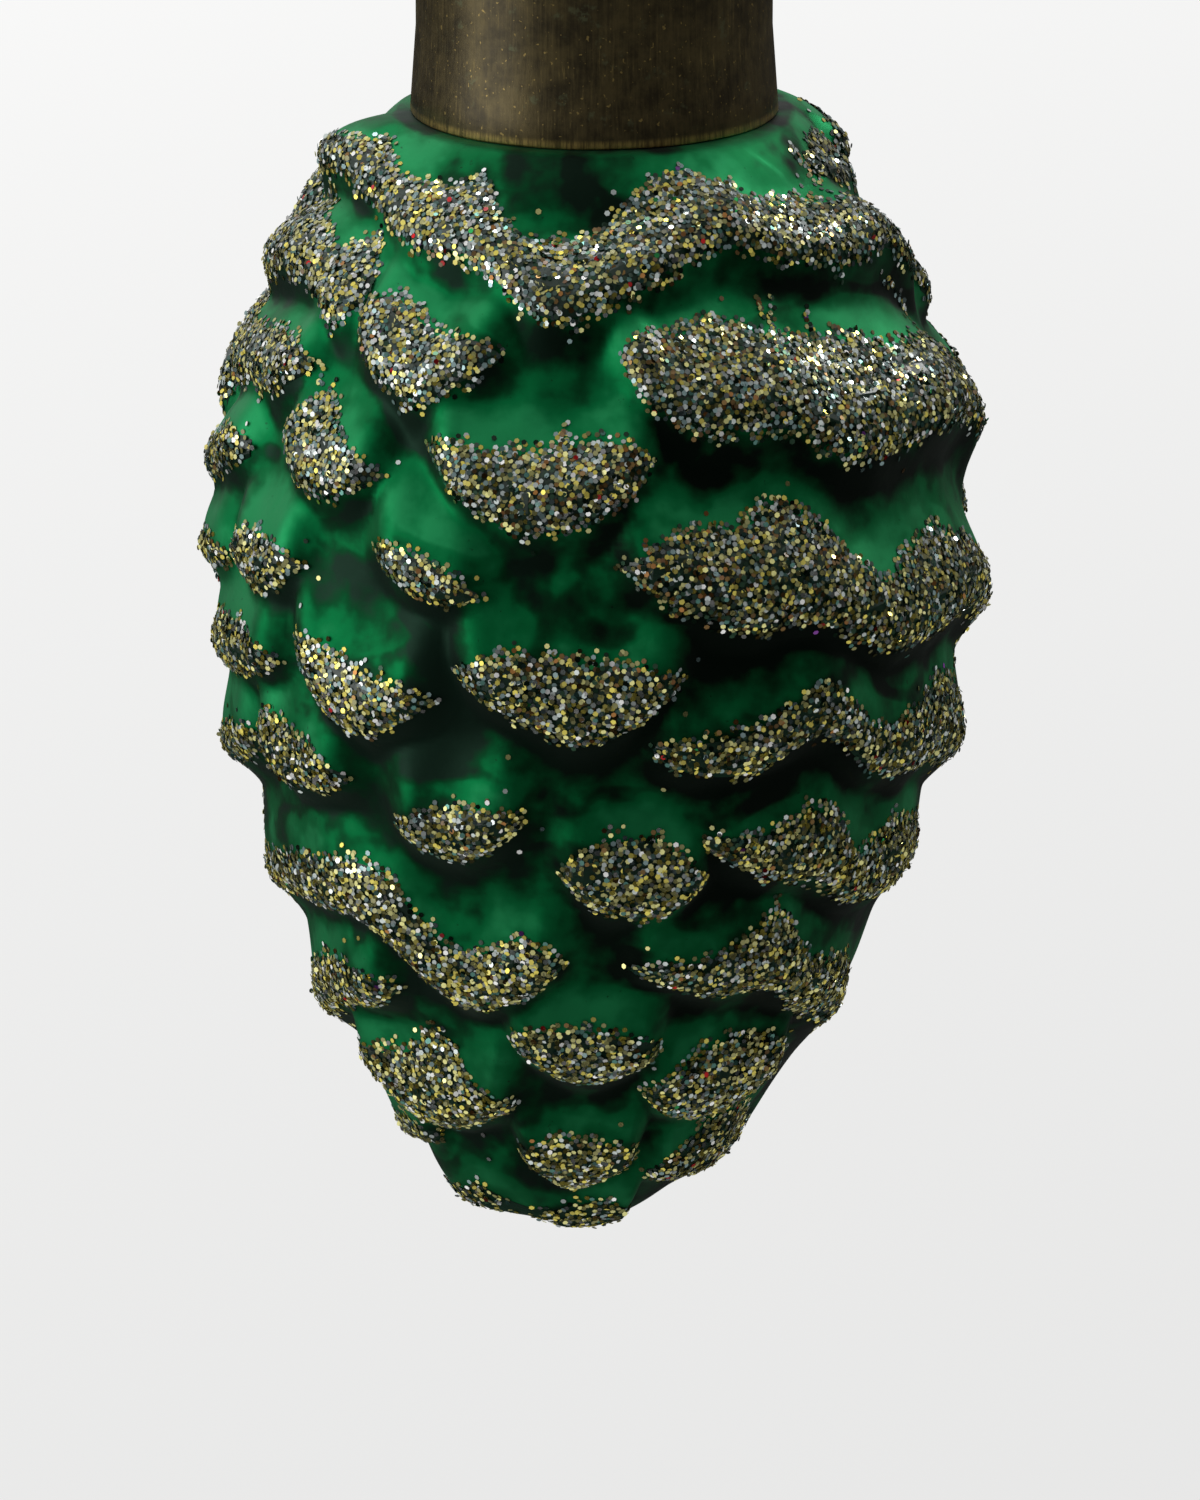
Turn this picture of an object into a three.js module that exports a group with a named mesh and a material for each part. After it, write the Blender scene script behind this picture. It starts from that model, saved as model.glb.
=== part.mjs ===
// Hanging pine cone ornament: a hollow blown glass cone whose scales are edged with crusts of
// glitter, a brass cap cemented over its neck, a split pin through the cap and a hanging ring.
// Millimetres, +Z up, origin where a hook bears inside the top of the ring.

import * as THREE from 'three';

// Hanging ring, a closed loop of round wire that stands in the YZ plane.
const RING_OUTER = 13;
const RING_WIRE = 1.2;

// Split pin. Its eye lies in the XZ plane and hangs on the ring, and its legs spread in the cap.
const EYE_INNER = 4.4;
const PIN_WIRE = 1.1;
const PIN_SHANK = 1.6;
const LEG_GAP = 0.4;
const LEG_SPREAD = 10;
const LEG_SLOPE = 12;

// Cap, a drawn brass cup that flares a little towards its cut rim.
const CAP_OUTER = 24.7;
const CAP_HEIGHT = 12;
const CAP_WALL = 0.5;
const CAP_CORNER = 1.5;
const CAP_FLARE = 0.45;

// Neck of the glass, which ends below the top of the cap, and the cement between it and the cap,
// which ends below the mouth of the neck.
const NECK_WALL = 1.5;
const NECK_CLEARANCE = 3;
const CEMENT_WALL = 0.8;
const CEMENT_DROP = 2;

// Body of the glass: mean radius and depth of its widest place, height of the ellipse that its
// shoulder follows, length and fullness of the taper below, and how far the tip leans to one side.
const BELLY_RADIUS = 27.3;
const BELLY_DROP = 32;
const SHOULDER_RISE = 37.3;
const TAPER_LENGTH = 51.3;
const TAPER_DROP_POWER = 1.25;
const TAPER_RADIUS_POWER = 8 / 7;
const TIP_LEAN = 1.7;
const GLASS_WALL = 1;
const LINING_END = 0.94;

// Relief of the scales: how deep the notches lie below the mean surface, how far down from the cap
// the bare shoulder goes over into them, how far a lip lifts from the notches, and how the lip's
// height dies away above, below and beside its crest.
const NOTCH_DEPTH = 1.4;
const SHOULDER_FADE = 9;
const LIP_LIFT = 1.8;
const LIP_SETBACK = 2;
const SCALE_SLOPE = 8;
const LIP_FALL = 4.8;
const LIP_OVERRUN = 4;
const LIP_FADE = 9;
const OVERLAP_POWER = 4;

// Crusts of glitter on the lips.
const CRUST_THICKNESS = 0.6;
const CRUST_EDGE = 0.25;
const CRUST_END = 10;

// Gaps that keep neighbouring solids apart.
const SEAT_GAP = 0.3;
const BEARING_GAP = 0.3;
const CRUST_GAP = 0.32;
const BULGE_MARGIN = 1.5;

// Fineness of the meshes.
const COLUMNS = 54;
const BODY_ROWS = 44;
const LINING_ROWS = 7;
const CRUST_STRIP = 2.2;
const LEAST_STRIPS = 3;
const CAP_SIDES = 42;
const CORNER_STEPS = 3;
const RING_STEPS = 36;
const WIRE_SIDES = 7;
const PIN_STEPS = 60;
const BEND_STEPS = 3;
const EYE_STEPS = 12;

// Each crust is one stroke of glue along the lips of a row of scales, from left to right. A station
// is an azimuth in degrees (0 faces -Y, 90 faces +X), the place of the stroke's upper edge and of
// its lower edge, both in divisions of the skin between the cap's rim and the tip, and, where the
// lip stands higher or lower than LIP_LIFT, the share of LIP_LIFT there. The glass was blown in a
// mould of two halves: the back half is the front half turned half round and drawn in a little
// towards its middle, apart from the strokes that have their own row for each half.
const SKIN_DIVISIONS = 97.4;
const BACK_SPREAD = 0.92;
const BOTH_HALVES = {
  b_wave: [
    [4, 13, 15.6], [12, 12.7, 19.7], [24, 12, 21], [33, 13.5, 21.5], [42, 14.2, 23.8], [53, 15, 24.3],
    [66, 16.9, 23.9, 1.5], [78, 17.4, 24.9, 1.5], [88, 20.4, 28.9, 1.3],
  ],
  c_middle: [[-27, 20.7, 22], [-20, 21, 25.2], [-11, 21, 27.2], [1, 20, 26], [9.5, 20.8, 22.8]],
  d_wave: [
    [4, 28.4, 29.6], [12, 26.8, 32.4], [23, 26.2, 34.4], [30, 25.2, 34.2], [37, 27.2, 35.2],
    [48, 32, 37.7], [60, 29.9, 37.7], [74, 32.2, 37.6, 1.1], [88, 35.6, 41.1, 1.1],
  ],
  e_middle: [[-21, 36, 37.3], [-11, 35, 40.2], [0, 35.3, 41.8], [13.5, 36.4, 38]],
  f_wave: [
    [8, 41.4, 43.2], [22, 41, 44.9], [36, 38.7, 42.8], [46, 42.4, 46.2], [56, 42.8, 47.8],
    [70, 41.8, 48.7, 0.75], [88, 46.4, 51.4, 1.1],
  ],
  g_left: [[-33, 48.6, 49.9], [-22, 46.7, 51.4], [-10, 46.6, 48.6]],
  g_middle: [[-5.5, 50.6, 53], [3, 48.7, 55.3], [11, 49.2, 55.8], [19, 51.6, 54]],
  g_wave: [
    [17.5, 48.7, 50.3], [28, 49, 53], [40, 48.3, 54.8], [49, 52.6, 57.2], [60, 51.5, 58.1, 0.95],
    [72, 53.3, 58.5, 0.55], [86, 55.5, 60.4, 0.55],
  ],
  h_sweep: [
    [-86, 57.2, 61.3, 0.75], [-70, 55.6, 59.2, 0.65], [-46, 52.8, 57.9], [-38, 53, 59.4],
    [-24, 58.8, 64], [-11, 57.3, 62.6], [-4, 58.6, 60.2],
  ],
  h_wave: [
    [6.5, 59.2, 60.3], [24, 58.5, 63], [35, 56.6, 63.2], [45, 61, 66], [58, 62.5, 68.5, 0.9],
    [74, 66.6, 71.6, 0.3], [84, 68.1, 72.6, 0.35],
  ],
  i_left: [[-84, 67.6, 72.1, 0.75], [-62, 63.1, 67.9, 0.8], [-48, 62, 66], [-38.5, 62.8, 64.2]],
  i_middle: [[-16, 65, 67.4], [0, 65, 70.6], [16, 66, 68.6]],
  i_lower: [
    [-60, 69.3, 71.5, 1.1], [-46, 69.8, 76.4], [-34, 67.4, 76.6], [-25, 71, 75.2], [-15, 72, 73.4],
  ],
  i_right: [[14, 71.4, 72.8], [21, 68.9, 74.4], [30, 67.7, 75.1], [40, 68, 74.4], [50, 68.6, 71.2]],
  j_middle: [[-18, 77.4, 78.8], [-2, 76.2, 82.5], [17, 77, 79.6]],
  j_right: [
    [21, 80.6, 81.8], [28, 78, 82.2], [36, 75.8, 82.4], [46, 75.4, 82.8, 0.9], [58, 77.4, 84.9, 0.4],
    [76, 81.3, 85.5, 0.3],
  ],
  k_tip: [
    [-66, 84.2, 86.4, 0.5], [-48, 83.8, 86.4], [-36, 82.4, 86.6], [-26, 83.6, 86.6],
    [-15, 84.6, 87.2], [-4, 84.3, 88.4], [10, 83.7, 88.4], [24, 85, 87.2],
  ],
};
const FRONT_HALF = {
  a_shoulder: [
    [-88, 3.5, 6.5, 2.05], [-72, 2.6, 5.3, 1.7], [-65, 1.4, 5.6, 1.35], [-52, 3, 6.5], [-38, 3, 8.5],
    [-27, 2, 8.6], [-21, 5, 9.6], [-8, 6, 12.8], [4, 4.4, 11.6], [18, 1.3, 9], [29, 2, 8],
    [42, 4.2, 9.6], [56, 5, 11], [70, 6.6, 11.2, 1.35], [86, 8.7, 15.7, 0.85],
  ],
  a_lobe: [
    [-87, 8.2, 14.6, 1.5], [-78, 7, 13.9, 1.4], [-69, 7.9, 13.1, 1.3], [-60, 9.2, 13.5],
    [-52, 7.4, 14.9], [-46, 9.6, 14.4],
  ],
  a_patch: [[66, 2.6, 4.2, 0.8], [75, 1.5, 5.4, 0.65], [85, 1.2, 6.6, 0.6], [95, 2.4, 7.1, 0.6]],
  b_edge: [[-88, 17.6, 22.4], [-72, 16.6, 21.2], [-62, 16.3, 20.8], [-53, 17, 18.4]],
  b_left: [
    [-46.5, 11.8, 14.6], [-38.5, 11.2, 17.6], [-29.5, 13.2, 19.2], [-21.5, 13.6, 17],
    [-15.5, 14.2, 15.4],
  ],
  c_edge: [[-88, 26.3, 30.3, 1.15], [-76, 24.7, 28.1], [-66, 23.6, 26.2]],
  c_left: [[-56.5, 21.4, 23.6], [-49.5, 19, 26.4], [-42.5, 21.7, 26.4], [-34.5, 23.4, 24.4]],
  d_edge: [[-88, 32.8, 36.1], [-71, 32.5, 34.5]],
  d_left: [[-68.5, 31, 32.6], [-59.5, 29.8, 34.6], [-48, 30.8, 32.2]],
  d_small: [[-35, 27.9, 29.7], [-25, 28.9, 32.2], [-16, 31, 32.1]],
  e_edge: [[-84, 39.2, 42.6, 0.7], [-66, 37, 41.6, 0.9], [-54, 38.4, 39.8]],
  e_left: [[-50.5, 35.8, 37.2], [-43.5, 36.3, 41.6], [-35.5, 37.6, 42.7], [-23.5, 38.6, 39.6]],
  f_edge: [[-86, 47.6, 51, 1.15], [-64, 44.7, 47.5, 0.95]],
  f_left: [[-63, 42.6, 46.6], [-55.5, 43, 48.6], [-40, 45.8, 47.2]],
  j_edge: [[-78, 79.5, 82.7, 0.6], [-58, 77.4, 80.2, 0.65], [-43, 77.2, 79.6]],
};
const BACK_HALF = {
  a_shoulder: [
    [-88, 3.5, 6.5, 1.2], [-72, 2.6, 5.3, 1.3], [-65, 1.4, 5.6, 1.2], [-52, 3, 6.5], [-38, 3, 8.5],
    [-27, 2, 8.6], [-21, 5, 9.6], [-8, 6, 12.8], [4, 4.4, 11.6], [18, 1.3, 9], [29, 2, 8],
    [42, 4.2, 9.6], [56, 5, 11], [70, 6.6, 11.2, 1.35], [86, 8.7, 15.7, 0.85],
  ],
  b_span: [
    [-86, 13.9, 18.1], [-70, 16.4, 21.1], [-56, 14.5, 18.2], [-38, 11.4, 17.6], [-28, 13.2, 19.2],
    [-14, 14.2, 15.6],
  ],
  c_span: [
    [-87, 24.7, 28.3, 1.1], [-72, 22.8, 26.4, 1.7], [-58, 21.4, 24.8], [-46, 19.6, 26.4],
    [-33, 23.4, 24.6],
  ],
  d_span: [[-87, 32.1, 36.1, 0.5], [-71, 30.6, 33.6, 0.8], [-58, 29.8, 34.6], [-45, 30.8, 32.4]],
  e_span: [
    [-86, 39.4, 42.8], [-68, 37.4, 41.8], [-56, 36.8, 39.6], [-36, 37.2, 42.6], [-22, 38.6, 39.8],
  ],
  f_span: [[-85, 47.2, 50.8], [-70, 45, 48.4], [-54, 43, 48.6], [-38, 45.6, 47.2]],
};

// Sizes that follow from the driving ones.
const ringRadius = (RING_OUTER - RING_WIRE) / 2;
const ringCentre = RING_WIRE / 2 - ringRadius;
const pivotZ = ringCentre - ringRadius;
const eyeRadius = (EYE_INNER + PIN_WIRE) / 2;
const eyeCentre = pivotZ + RING_WIRE / 2 + BEARING_GAP - EYE_INNER / 2;
const legOffset = (LEG_GAP + PIN_WIRE) / 2;
const capTop = eyeCentre - eyeRadius - PIN_SHANK;
const rimZ = capTop - CAP_HEIGHT;
const capRadius = CAP_OUTER / 2;
const pinHoleRadius = legOffset + PIN_WIRE / 2 + BEARING_GAP;
const cementOuter = capRadius - CAP_WALL - SEAT_GAP;
const neckRadius = cementOuter - CEMENT_WALL - SEAT_GAP;
const neckBore = neckRadius - NECK_WALL;
const neckTop = capTop - NECK_CLEARANCE;

const DEG = Math.PI / 180;
const smoothFall = (x) => 0.5 + 0.5 * Math.cos(Math.PI * THREE.MathUtils.clamp(x, 0, 1));

// Materials.
const darkBrass = new THREE.MeshStandardMaterial({ color: 0x4a3d22, roughness: 0.42, metalness: 0.9 });
const brassWire = new THREE.MeshStandardMaterial({ color: 0x6b5630, roughness: 0.38, metalness: 0.9 });
const greenGlass = new THREE.MeshStandardMaterial({ color: 0x0b6b3c, roughness: 0.4, metalness: 0.35 });
const whiteCement = new THREE.MeshStandardMaterial({ color: 0xd9d4c7, roughness: 0.9, metalness: 0 });
const goldGlitter = new THREE.MeshStandardMaterial({ color: 0xa89a72, roughness: 0.35, metalness: 0.7 });

// The mean meridian of the glass below the rim, as radius and height at equal steps of an angle
// that runs from the shoulder to the tip, with the length of skin down to each point.
const MERIDIAN_STEPS = 1200;
const meridian = (() => {
  const first = Math.asin(BELLY_DROP / SHOULDER_RISE);
  const points = [];
  let skin = 0;
  for (let i = 0; i <= MERIDIAN_STEPS; i += 1) {
    const angle = first - (first + Math.PI / 2) * (i / MERIDIAN_STEPS);
    const cos = Math.abs(Math.cos(angle));
    const sin = Math.abs(Math.sin(angle));
    const shoulder = angle > 0;
    const radius = BELLY_RADIUS * (shoulder ? cos : cos ** TAPER_RADIUS_POWER);
    const rise = shoulder ? SHOULDER_RISE * sin : -TAPER_LENGTH * sin ** TAPER_DROP_POWER;
    const height = rimZ - SEAT_GAP - BELLY_DROP + rise;
    const previous = points[i - 1];
    if (previous) skin += Math.hypot(radius - previous.radius, height - previous.height);
    points.push({ radius, height, skin });
  }
  return points;
})();
const skinLength = meridian[MERIDIAN_STEPS].skin;
const division = skinLength / SKIN_DIVISIONS;

// Radius and height of the mean meridian at a depth down the skin.
function meridianAt(depth) {
  const target = THREE.MathUtils.clamp(depth, 0, skinLength);
  let low = 0;
  let high = MERIDIAN_STEPS;
  while (high - low > 1) {
    const middle = (low + high) >> 1;
    if (meridian[middle].skin <= target) low = middle;
    else high = middle;
  }
  const a = meridian[low];
  const b = meridian[high];
  const t = (target - a.skin) / (b.skin - a.skin);
  return {
    radius: THREE.MathUtils.lerp(a.radius, b.radius, t),
    height: THREE.MathUtils.lerp(a.height, b.height, t),
  };
}

// Outward direction of the mean meridian, as its radial and its upward part.
function meridianNormal(depth) {
  const reach = 0.4;
  const above = meridianAt(depth - reach);
  const below = meridianAt(depth + reach);
  const radial = above.height - below.height;
  const upward = below.radius - above.radius;
  const length = Math.hypot(radial, upward);
  return { radial: radial / length, upward: upward / length };
}

// A stroke is read at any azimuth by cubic interpolation between its stations.
function makeStroke(name, stations, turn, spread) {
  const azimuths = stations.map((station) => turn + spread * station[0]);
  const tracks = [
    stations.map((station) => station[1] * division),
    stations.map((station) => station[2] * division),
    stations.map((station) => LIP_LIFT * (station[3] ?? 1)),
  ];
  const slope = (track, i) => {
    const a = Math.max(i - 1, 0);
    const b = Math.min(i + 1, track.length - 1);
    return (track[b] - track[a]) / (azimuths[b] - azimuths[a]);
  };
  const read = (track, azimuth) => {
    const last = azimuths.length - 1;
    const x = THREE.MathUtils.clamp(azimuth, azimuths[0], azimuths[last]);
    let i = 0;
    while (i < last - 1 && x > azimuths[i + 1]) i += 1;
    const span = azimuths[i + 1] - azimuths[i];
    const t = (x - azimuths[i]) / span;
    const a = track[i];
    const b = track[i + 1];
    const bend = (slope(track, i) * (1 - t) - slope(track, i + 1) * t) * span + (b - a) * (2 * t - 1);
    return a + (b - a) * t + bend * t * (1 - t);
  };
  return {
    name,
    from: azimuths[0],
    to: azimuths[azimuths.length - 1],
    upper: (azimuth) => read(tracks[0], azimuth),
    lower: (azimuth) => read(tracks[1], azimuth),
    lift: (azimuth) => read(tracks[2], azimuth),
  };
}

const makeHalf = (half, turn, spread, layout) => (
  Object.entries(layout).map(([name, stations]) => makeStroke(`${name}_${half}`, stations, turn, spread))
);
const strokes = [
  ...makeHalf('front', 0, 1, { ...BOTH_HALVES, ...FRONT_HALF }),
  ...makeHalf('back', 180, BACK_SPREAD, { ...BOTH_HALVES, ...BACK_HALF }),
];

// Height of one scale's lip above the notches: a crest just above the stroke's lower edge, a long
// slope up the cone, a short fall below, and a fade past the stroke's two ends.
function lipHeight(stroke, azimuth, depth) {
  const middle = (stroke.from + stroke.to) / 2;
  const turned = THREE.MathUtils.euclideanModulo(azimuth - middle + 180, 360);
  const around = turned - 180 + middle;
  const beyond = Math.max(stroke.from - around, around - stroke.to, -LIP_FADE);
  const side = smoothFall((beyond - LIP_OVERRUN) / LIP_FADE + 1);
  if (side === 0) return 0;
  const above = stroke.lower(around) - LIP_SETBACK - depth;
  const along = above > 0 ? smoothFall(above / SCALE_SLOPE) : smoothFall(-above / LIP_FALL);
  return stroke.lift(around) * side * along;
}

// Height of the relief, a smooth maximum of the bare shoulder and all the lips.
function relief(azimuth, depth) {
  let sum = (NOTCH_DEPTH * smoothFall(depth / SHOULDER_FADE)) ** OVERLAP_POWER;
  for (const stroke of strokes) sum += lipHeight(stroke, azimuth, depth) ** OVERLAP_POWER;
  return sum ** (1 / OVERLAP_POWER);
}

// Sideways shift of the glass, which grows from the belly to the tip.
function leanAt(height) {
  const below = THREE.MathUtils.clamp((rimZ - BELLY_DROP - height) / TAPER_LENGTH, 0, 1);
  return -TIP_LEAN * below ** 2;
}

// Point at a radius, azimuth and height of the leaning glass.
function glassPoint(radius, azimuth, height) {
  const x = leanAt(height) + radius * Math.sin(azimuth * DEG);
  return new THREE.Vector3(x, -radius * Math.cos(azimuth * DEG), height);
}

// Point of the scaled skin, raised by an offset along the mean meridian's normal.
function skinPoint(azimuth, depth, offset) {
  const { radius, height } = meridianAt(depth);
  const normal = meridianNormal(depth);
  return glassPoint(radius + normal.radial * offset, azimuth, height + normal.upward * offset);
}

const columnStep = 360 / COLUMNS;
const rowStep = skinLength / BODY_ROWS;
const outerSkin = Array.from({ length: BODY_ROWS }, (_, row) => (
  Array.from({ length: COLUMNS }, (_, column) => (
    skinPoint(column * columnStep, row * rowStep, relief(column * columnStep, row * rowStep) - NOTCH_DEPTH)
  ))
));

// Mesh from rings of points, joined one to the next, with each end closed to a single point. The
// rings run so that their outward side is on the right of the way from the first to the last.
function closeRings(rings, firstPoint, lastPoint) {
  const count = rings[0].length;
  const points = [firstPoint, ...rings.flat(), lastPoint];
  const at = (ring, i) => 1 + ring * count + (i % count);
  const faces = [];
  for (let i = 0; i < count; i += 1) {
    faces.push(0, at(0, i), at(0, i + 1));
    faces.push(points.length - 1, at(rings.length - 1, i + 1), at(rings.length - 1, i));
    for (let ring = 0; ring < rings.length - 1; ring += 1) {
      faces.push(at(ring, i), at(ring + 1, i), at(ring + 1, i + 1));
      faces.push(at(ring, i), at(ring + 1, i + 1), at(ring, i + 1));
    }
  }
  const geometry = new THREE.BufferGeometry().setFromPoints(points);
  geometry.setIndex(faces);
  geometry.computeVertexNormals();
  return geometry;
}

// Glass: its lining runs up from the tip to the bore of the neck, over the neck's mouth, down the
// outside of the neck to the ledge under the cap, and down the scaled skin to the tip.
function makeGlass() {
  const ring = (radius, height) => (
    Array.from({ length: COLUMNS }, (_, column) => glassPoint(radius, column * columnStep, height))
  );
  const liningDepth = NOTCH_DEPTH + GLASS_WALL;
  const lining = [];
  for (let row = LINING_ROWS; row >= 0; row -= 1) {
    const depth = skinLength * LINING_END * (row / LINING_ROWS);
    const { radius, height } = meridianAt(depth);
    const normal = meridianNormal(depth);
    lining.push(ring(radius - normal.radial * liningDepth, height - normal.upward * liningDepth));
  }
  const ledge = rimZ - SEAT_GAP;
  const liningTop = ledge - GLASS_WALL;
  const mouthRound = NECK_WALL / 4;
  const neck = [
    ring(neckBore, liningTop),
    ring(neckBore, neckTop - mouthRound),
    ring(neckBore + mouthRound, neckTop),
    ring(neckRadius - mouthRound, neckTop),
    ring(neckRadius, neckTop - mouthRound),
    ring(neckRadius, ledge),
  ];
  const tip = meridianAt(skinLength);
  const innerTip = glassPoint(0, 0, tip.height + liningDepth);
  const outerTip = glassPoint(0, 0, tip.height + NOTCH_DEPTH);
  return closeRings([...lining, ...neck, ...outerSkin], innerTip, outerTip);
}

// Point of the faceted skin between its columns and rows, on the triangle that holds it.
function facetPoint(column, depth) {
  const place = THREE.MathUtils.clamp(depth / rowStep, 0, BODY_ROWS - 1.001);
  const row = Math.floor(place);
  const down = place - row;
  const around = column - Math.floor(column);
  const left = THREE.MathUtils.euclideanModulo(Math.floor(column), COLUMNS);
  const right = (left + 1) % COLUMNS;
  const near = outerSkin[row][left];
  const far = outerSkin[row + 1][right];
  const side = down > around ? outerSkin[row + 1][left] : outerSkin[row][right];
  const [first, second] = down > around ? [down, around] : [around, down];
  return near.clone().addScaledVector(side, first).addScaledVector(near, -first)
    .addScaledVector(far, second).addScaledVector(side, -second);
}

// Outward normal of the faceted skin, from its neighbours up, down and to each side.
function facetNormal(column, depth) {
  const down = facetPoint(column, depth + rowStep / 2).sub(facetPoint(column, depth - rowStep / 2));
  const across = facetPoint(column + 0.5, depth).sub(facetPoint(column - 0.5, depth));
  return down.cross(across).normalize();
}

// Crust of one stroke: at each column of the glass a thin section that follows the facets, full in
// its middle and thin at its edges, with both ends drawn to a point. Where the skin bulges between
// two neighbouring points of the crust, both are raised by the bulge.
function makeCrust(stroke) {
  const margin = columnStep / 4;
  const first = Math.ceil((stroke.from + margin) / columnStep);
  const last = Math.floor((stroke.to - margin) / columnStep);
  const depthAt = (column, v) => {
    const azimuth = column * columnStep;
    const inward = Math.min(azimuth - stroke.from, stroke.to - azimuth) / CRUST_END;
    const fullness = Math.sqrt(1 - (1 - THREE.MathUtils.clamp(inward, 0, 1)) ** 2);
    const across = 0.5 + (v - 0.5) * fullness;
    return THREE.MathUtils.lerp(stroke.upper(azimuth), stroke.lower(azimuth), across);
  };
  let width = 0;
  for (let column = first; column <= last; column += 1) {
    width = Math.max(width, depthAt(column, 1) - depthAt(column, 0));
  }
  const strips = Math.max(LEAST_STRIPS, Math.ceil(width / CRUST_STRIP));
  const neighbours = [[1, 0], [-1, 0], [0, 1], [0, -1], [1, 1], [-1, -1], [1, -1], [-1, 1]];
  const bulgeBetween = (column, v, otherColumn, otherV, normal) => {
    const here = facetPoint(column, depthAt(column, v));
    const there = facetPoint(otherColumn, depthAt(otherColumn, otherV));
    const middleDepth = (depthAt(column, v) + depthAt(otherColumn, otherV)) / 2;
    const skin = facetPoint((column + otherColumn) / 2, middleDepth);
    return skin.sub(here.lerp(there, 0.5)).dot(normal);
  };
  const bulgeAt = (column, v, normal) => {
    const inside = neighbours.filter(([, downward]) => Math.abs(v + downward / strips - 0.5) < 0.51);
    const bulges = inside.map(([sideways, downward]) => (
      bulgeBetween(column, v, column + sideways, v + downward / strips, normal)
    ));
    return Math.max(0, ...bulges);
  };
  const section = (column) => {
    const outside = [];
    const inside = [];
    for (let i = 0; i <= strips; i += 1) {
      const v = i / strips;
      const depth = depthAt(column, v);
      const normal = facetNormal(column, depth);
      const rise = CRUST_GAP + BULGE_MARGIN * bulgeAt(column, v, normal);
      const foot = facetPoint(column, depth).addScaledVector(normal, rise);
      const swell = Math.sqrt(4 * v * (1 - v));
      const thickness = THREE.MathUtils.lerp(CRUST_EDGE, CRUST_THICKNESS, swell);
      inside.push(foot);
      outside.push(foot.clone().addScaledVector(normal, thickness));
    }
    return [...inside, ...outside.reverse()];
  };
  const end = (azimuth, nearest) => {
    const column = azimuth / columnStep;
    const depth = depthAt(column, 0.5);
    const normal = facetNormal(column, depth);
    const bulges = [0, 0.5, 1].map((v) => bulgeBetween(column, 0.5, nearest, v, normal));
    const raise = CRUST_GAP + CRUST_EDGE + 2 * Math.max(0, ...bulges);
    return facetPoint(column, depth).addScaledVector(normal, raise);
  };
  const sections = [];
  for (let column = first; column <= last; column += 1) sections.push(section(column));
  return closeRings(sections, end(stroke.from, first), end(stroke.to, last));
}

// Tube of round wire along a path.
function wireTube(path, wire, steps, sides) {
  const outline = new THREE.Shape();
  for (let i = 0; i < sides; i += 1) {
    const angle = (2 * Math.PI * i) / sides;
    const x = (wire / 2) * Math.cos(angle);
    const y = (wire / 2) * Math.sin(angle);
    if (i === 0) outline.moveTo(x, y);
    else outline.lineTo(x, y);
  }
  outline.closePath();
  return new THREE.ExtrudeGeometry(outline, { steps, bevelEnabled: false, extrudePath: path });
}

// Ring: a torus turned into the YZ plane.
function makeRing() {
  const ring = new THREE.TorusGeometry(ringRadius, RING_WIRE / 2, WIRE_SIDES, RING_STEPS);
  ring.rotateY(Math.PI / 2);
  ring.translate(0, 0, ringCentre);
  return ring;
}

// Split pin: from the tip of one leg, round the lower edge of the cap's hole, up through the cap,
// round the eye, and down the other leg to its tip.
function makePin() {
  const underside = capTop - CAP_WALL;
  const legBend = pinHoleRadius - legOffset;
  const bendPoint = (angle) => [
    pinHoleRadius - legBend * Math.cos(angle * DEG), underside - legBend * Math.sin(angle * DEG),
  ];
  const lastAngle = 90 - LEG_SLOPE;
  const [bendX, bendZ] = bendPoint(lastAngle);
  const tipX = (LEG_SPREAD - PIN_WIRE) / 2;
  const leg = [[tipX, bendZ - (tipX - bendX) * Math.tan(LEG_SLOPE * DEG)]];
  for (let i = BEND_STEPS; i >= 0; i -= 1) leg.push(bendPoint(lastAngle * (i / BEND_STEPS)));
  const neckAngle = Math.asin(legOffset / eyeRadius);
  const legTop = eyeCentre - eyeRadius * Math.cos(neckAngle);
  leg.push([legOffset, (underside + legTop) / 2]);
  const eye = [];
  for (let i = 0; i <= EYE_STEPS; i += 1) {
    const angle = neckAngle + 2 * (Math.PI - neckAngle) * (i / EYE_STEPS);
    eye.push([eyeRadius * Math.sin(angle), eyeCentre - eyeRadius * Math.cos(angle)]);
  }
  const otherLeg = leg.map(([x, z]) => [-x, z]).reverse();
  const points = [...leg, ...eye, ...otherLeg].map(([x, z]) => new THREE.Vector3(x, 0, z));
  const path = new THREE.CatmullRomCurve3(points, false, 'centripetal');
  return wireTube(path, PIN_WIRE, PIN_STEPS, WIRE_SIDES);
}

// Cap: a cup turned on the lathe, with the pin's hole in its top.
function makeCap() {
  const wall = (inset) => {
    const radius = capRadius - inset;
    const corner = CAP_CORNER - inset;
    const rim = new THREE.Vector2(radius + CAP_FLARE, rimZ);
    const points = [rim, new THREE.Vector2(radius, rimZ + CAP_HEIGHT / 2)];
    for (let i = 0; i <= CORNER_STEPS; i += 1) {
      const angle = (Math.PI / 2) * (i / CORNER_STEPS);
      const x = radius - corner + corner * Math.cos(angle);
      points.push(new THREE.Vector2(x, capTop - CAP_CORNER + corner * Math.sin(angle)));
    }
    points.push(new THREE.Vector2(pinHoleRadius, capTop - inset));
    return points;
  };
  const outline = [...wall(0), ...wall(CAP_WALL).reverse()];
  return new THREE.LatheGeometry([...outline, outline[0].clone()], CAP_SIDES).rotateX(Math.PI / 2);
}

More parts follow.
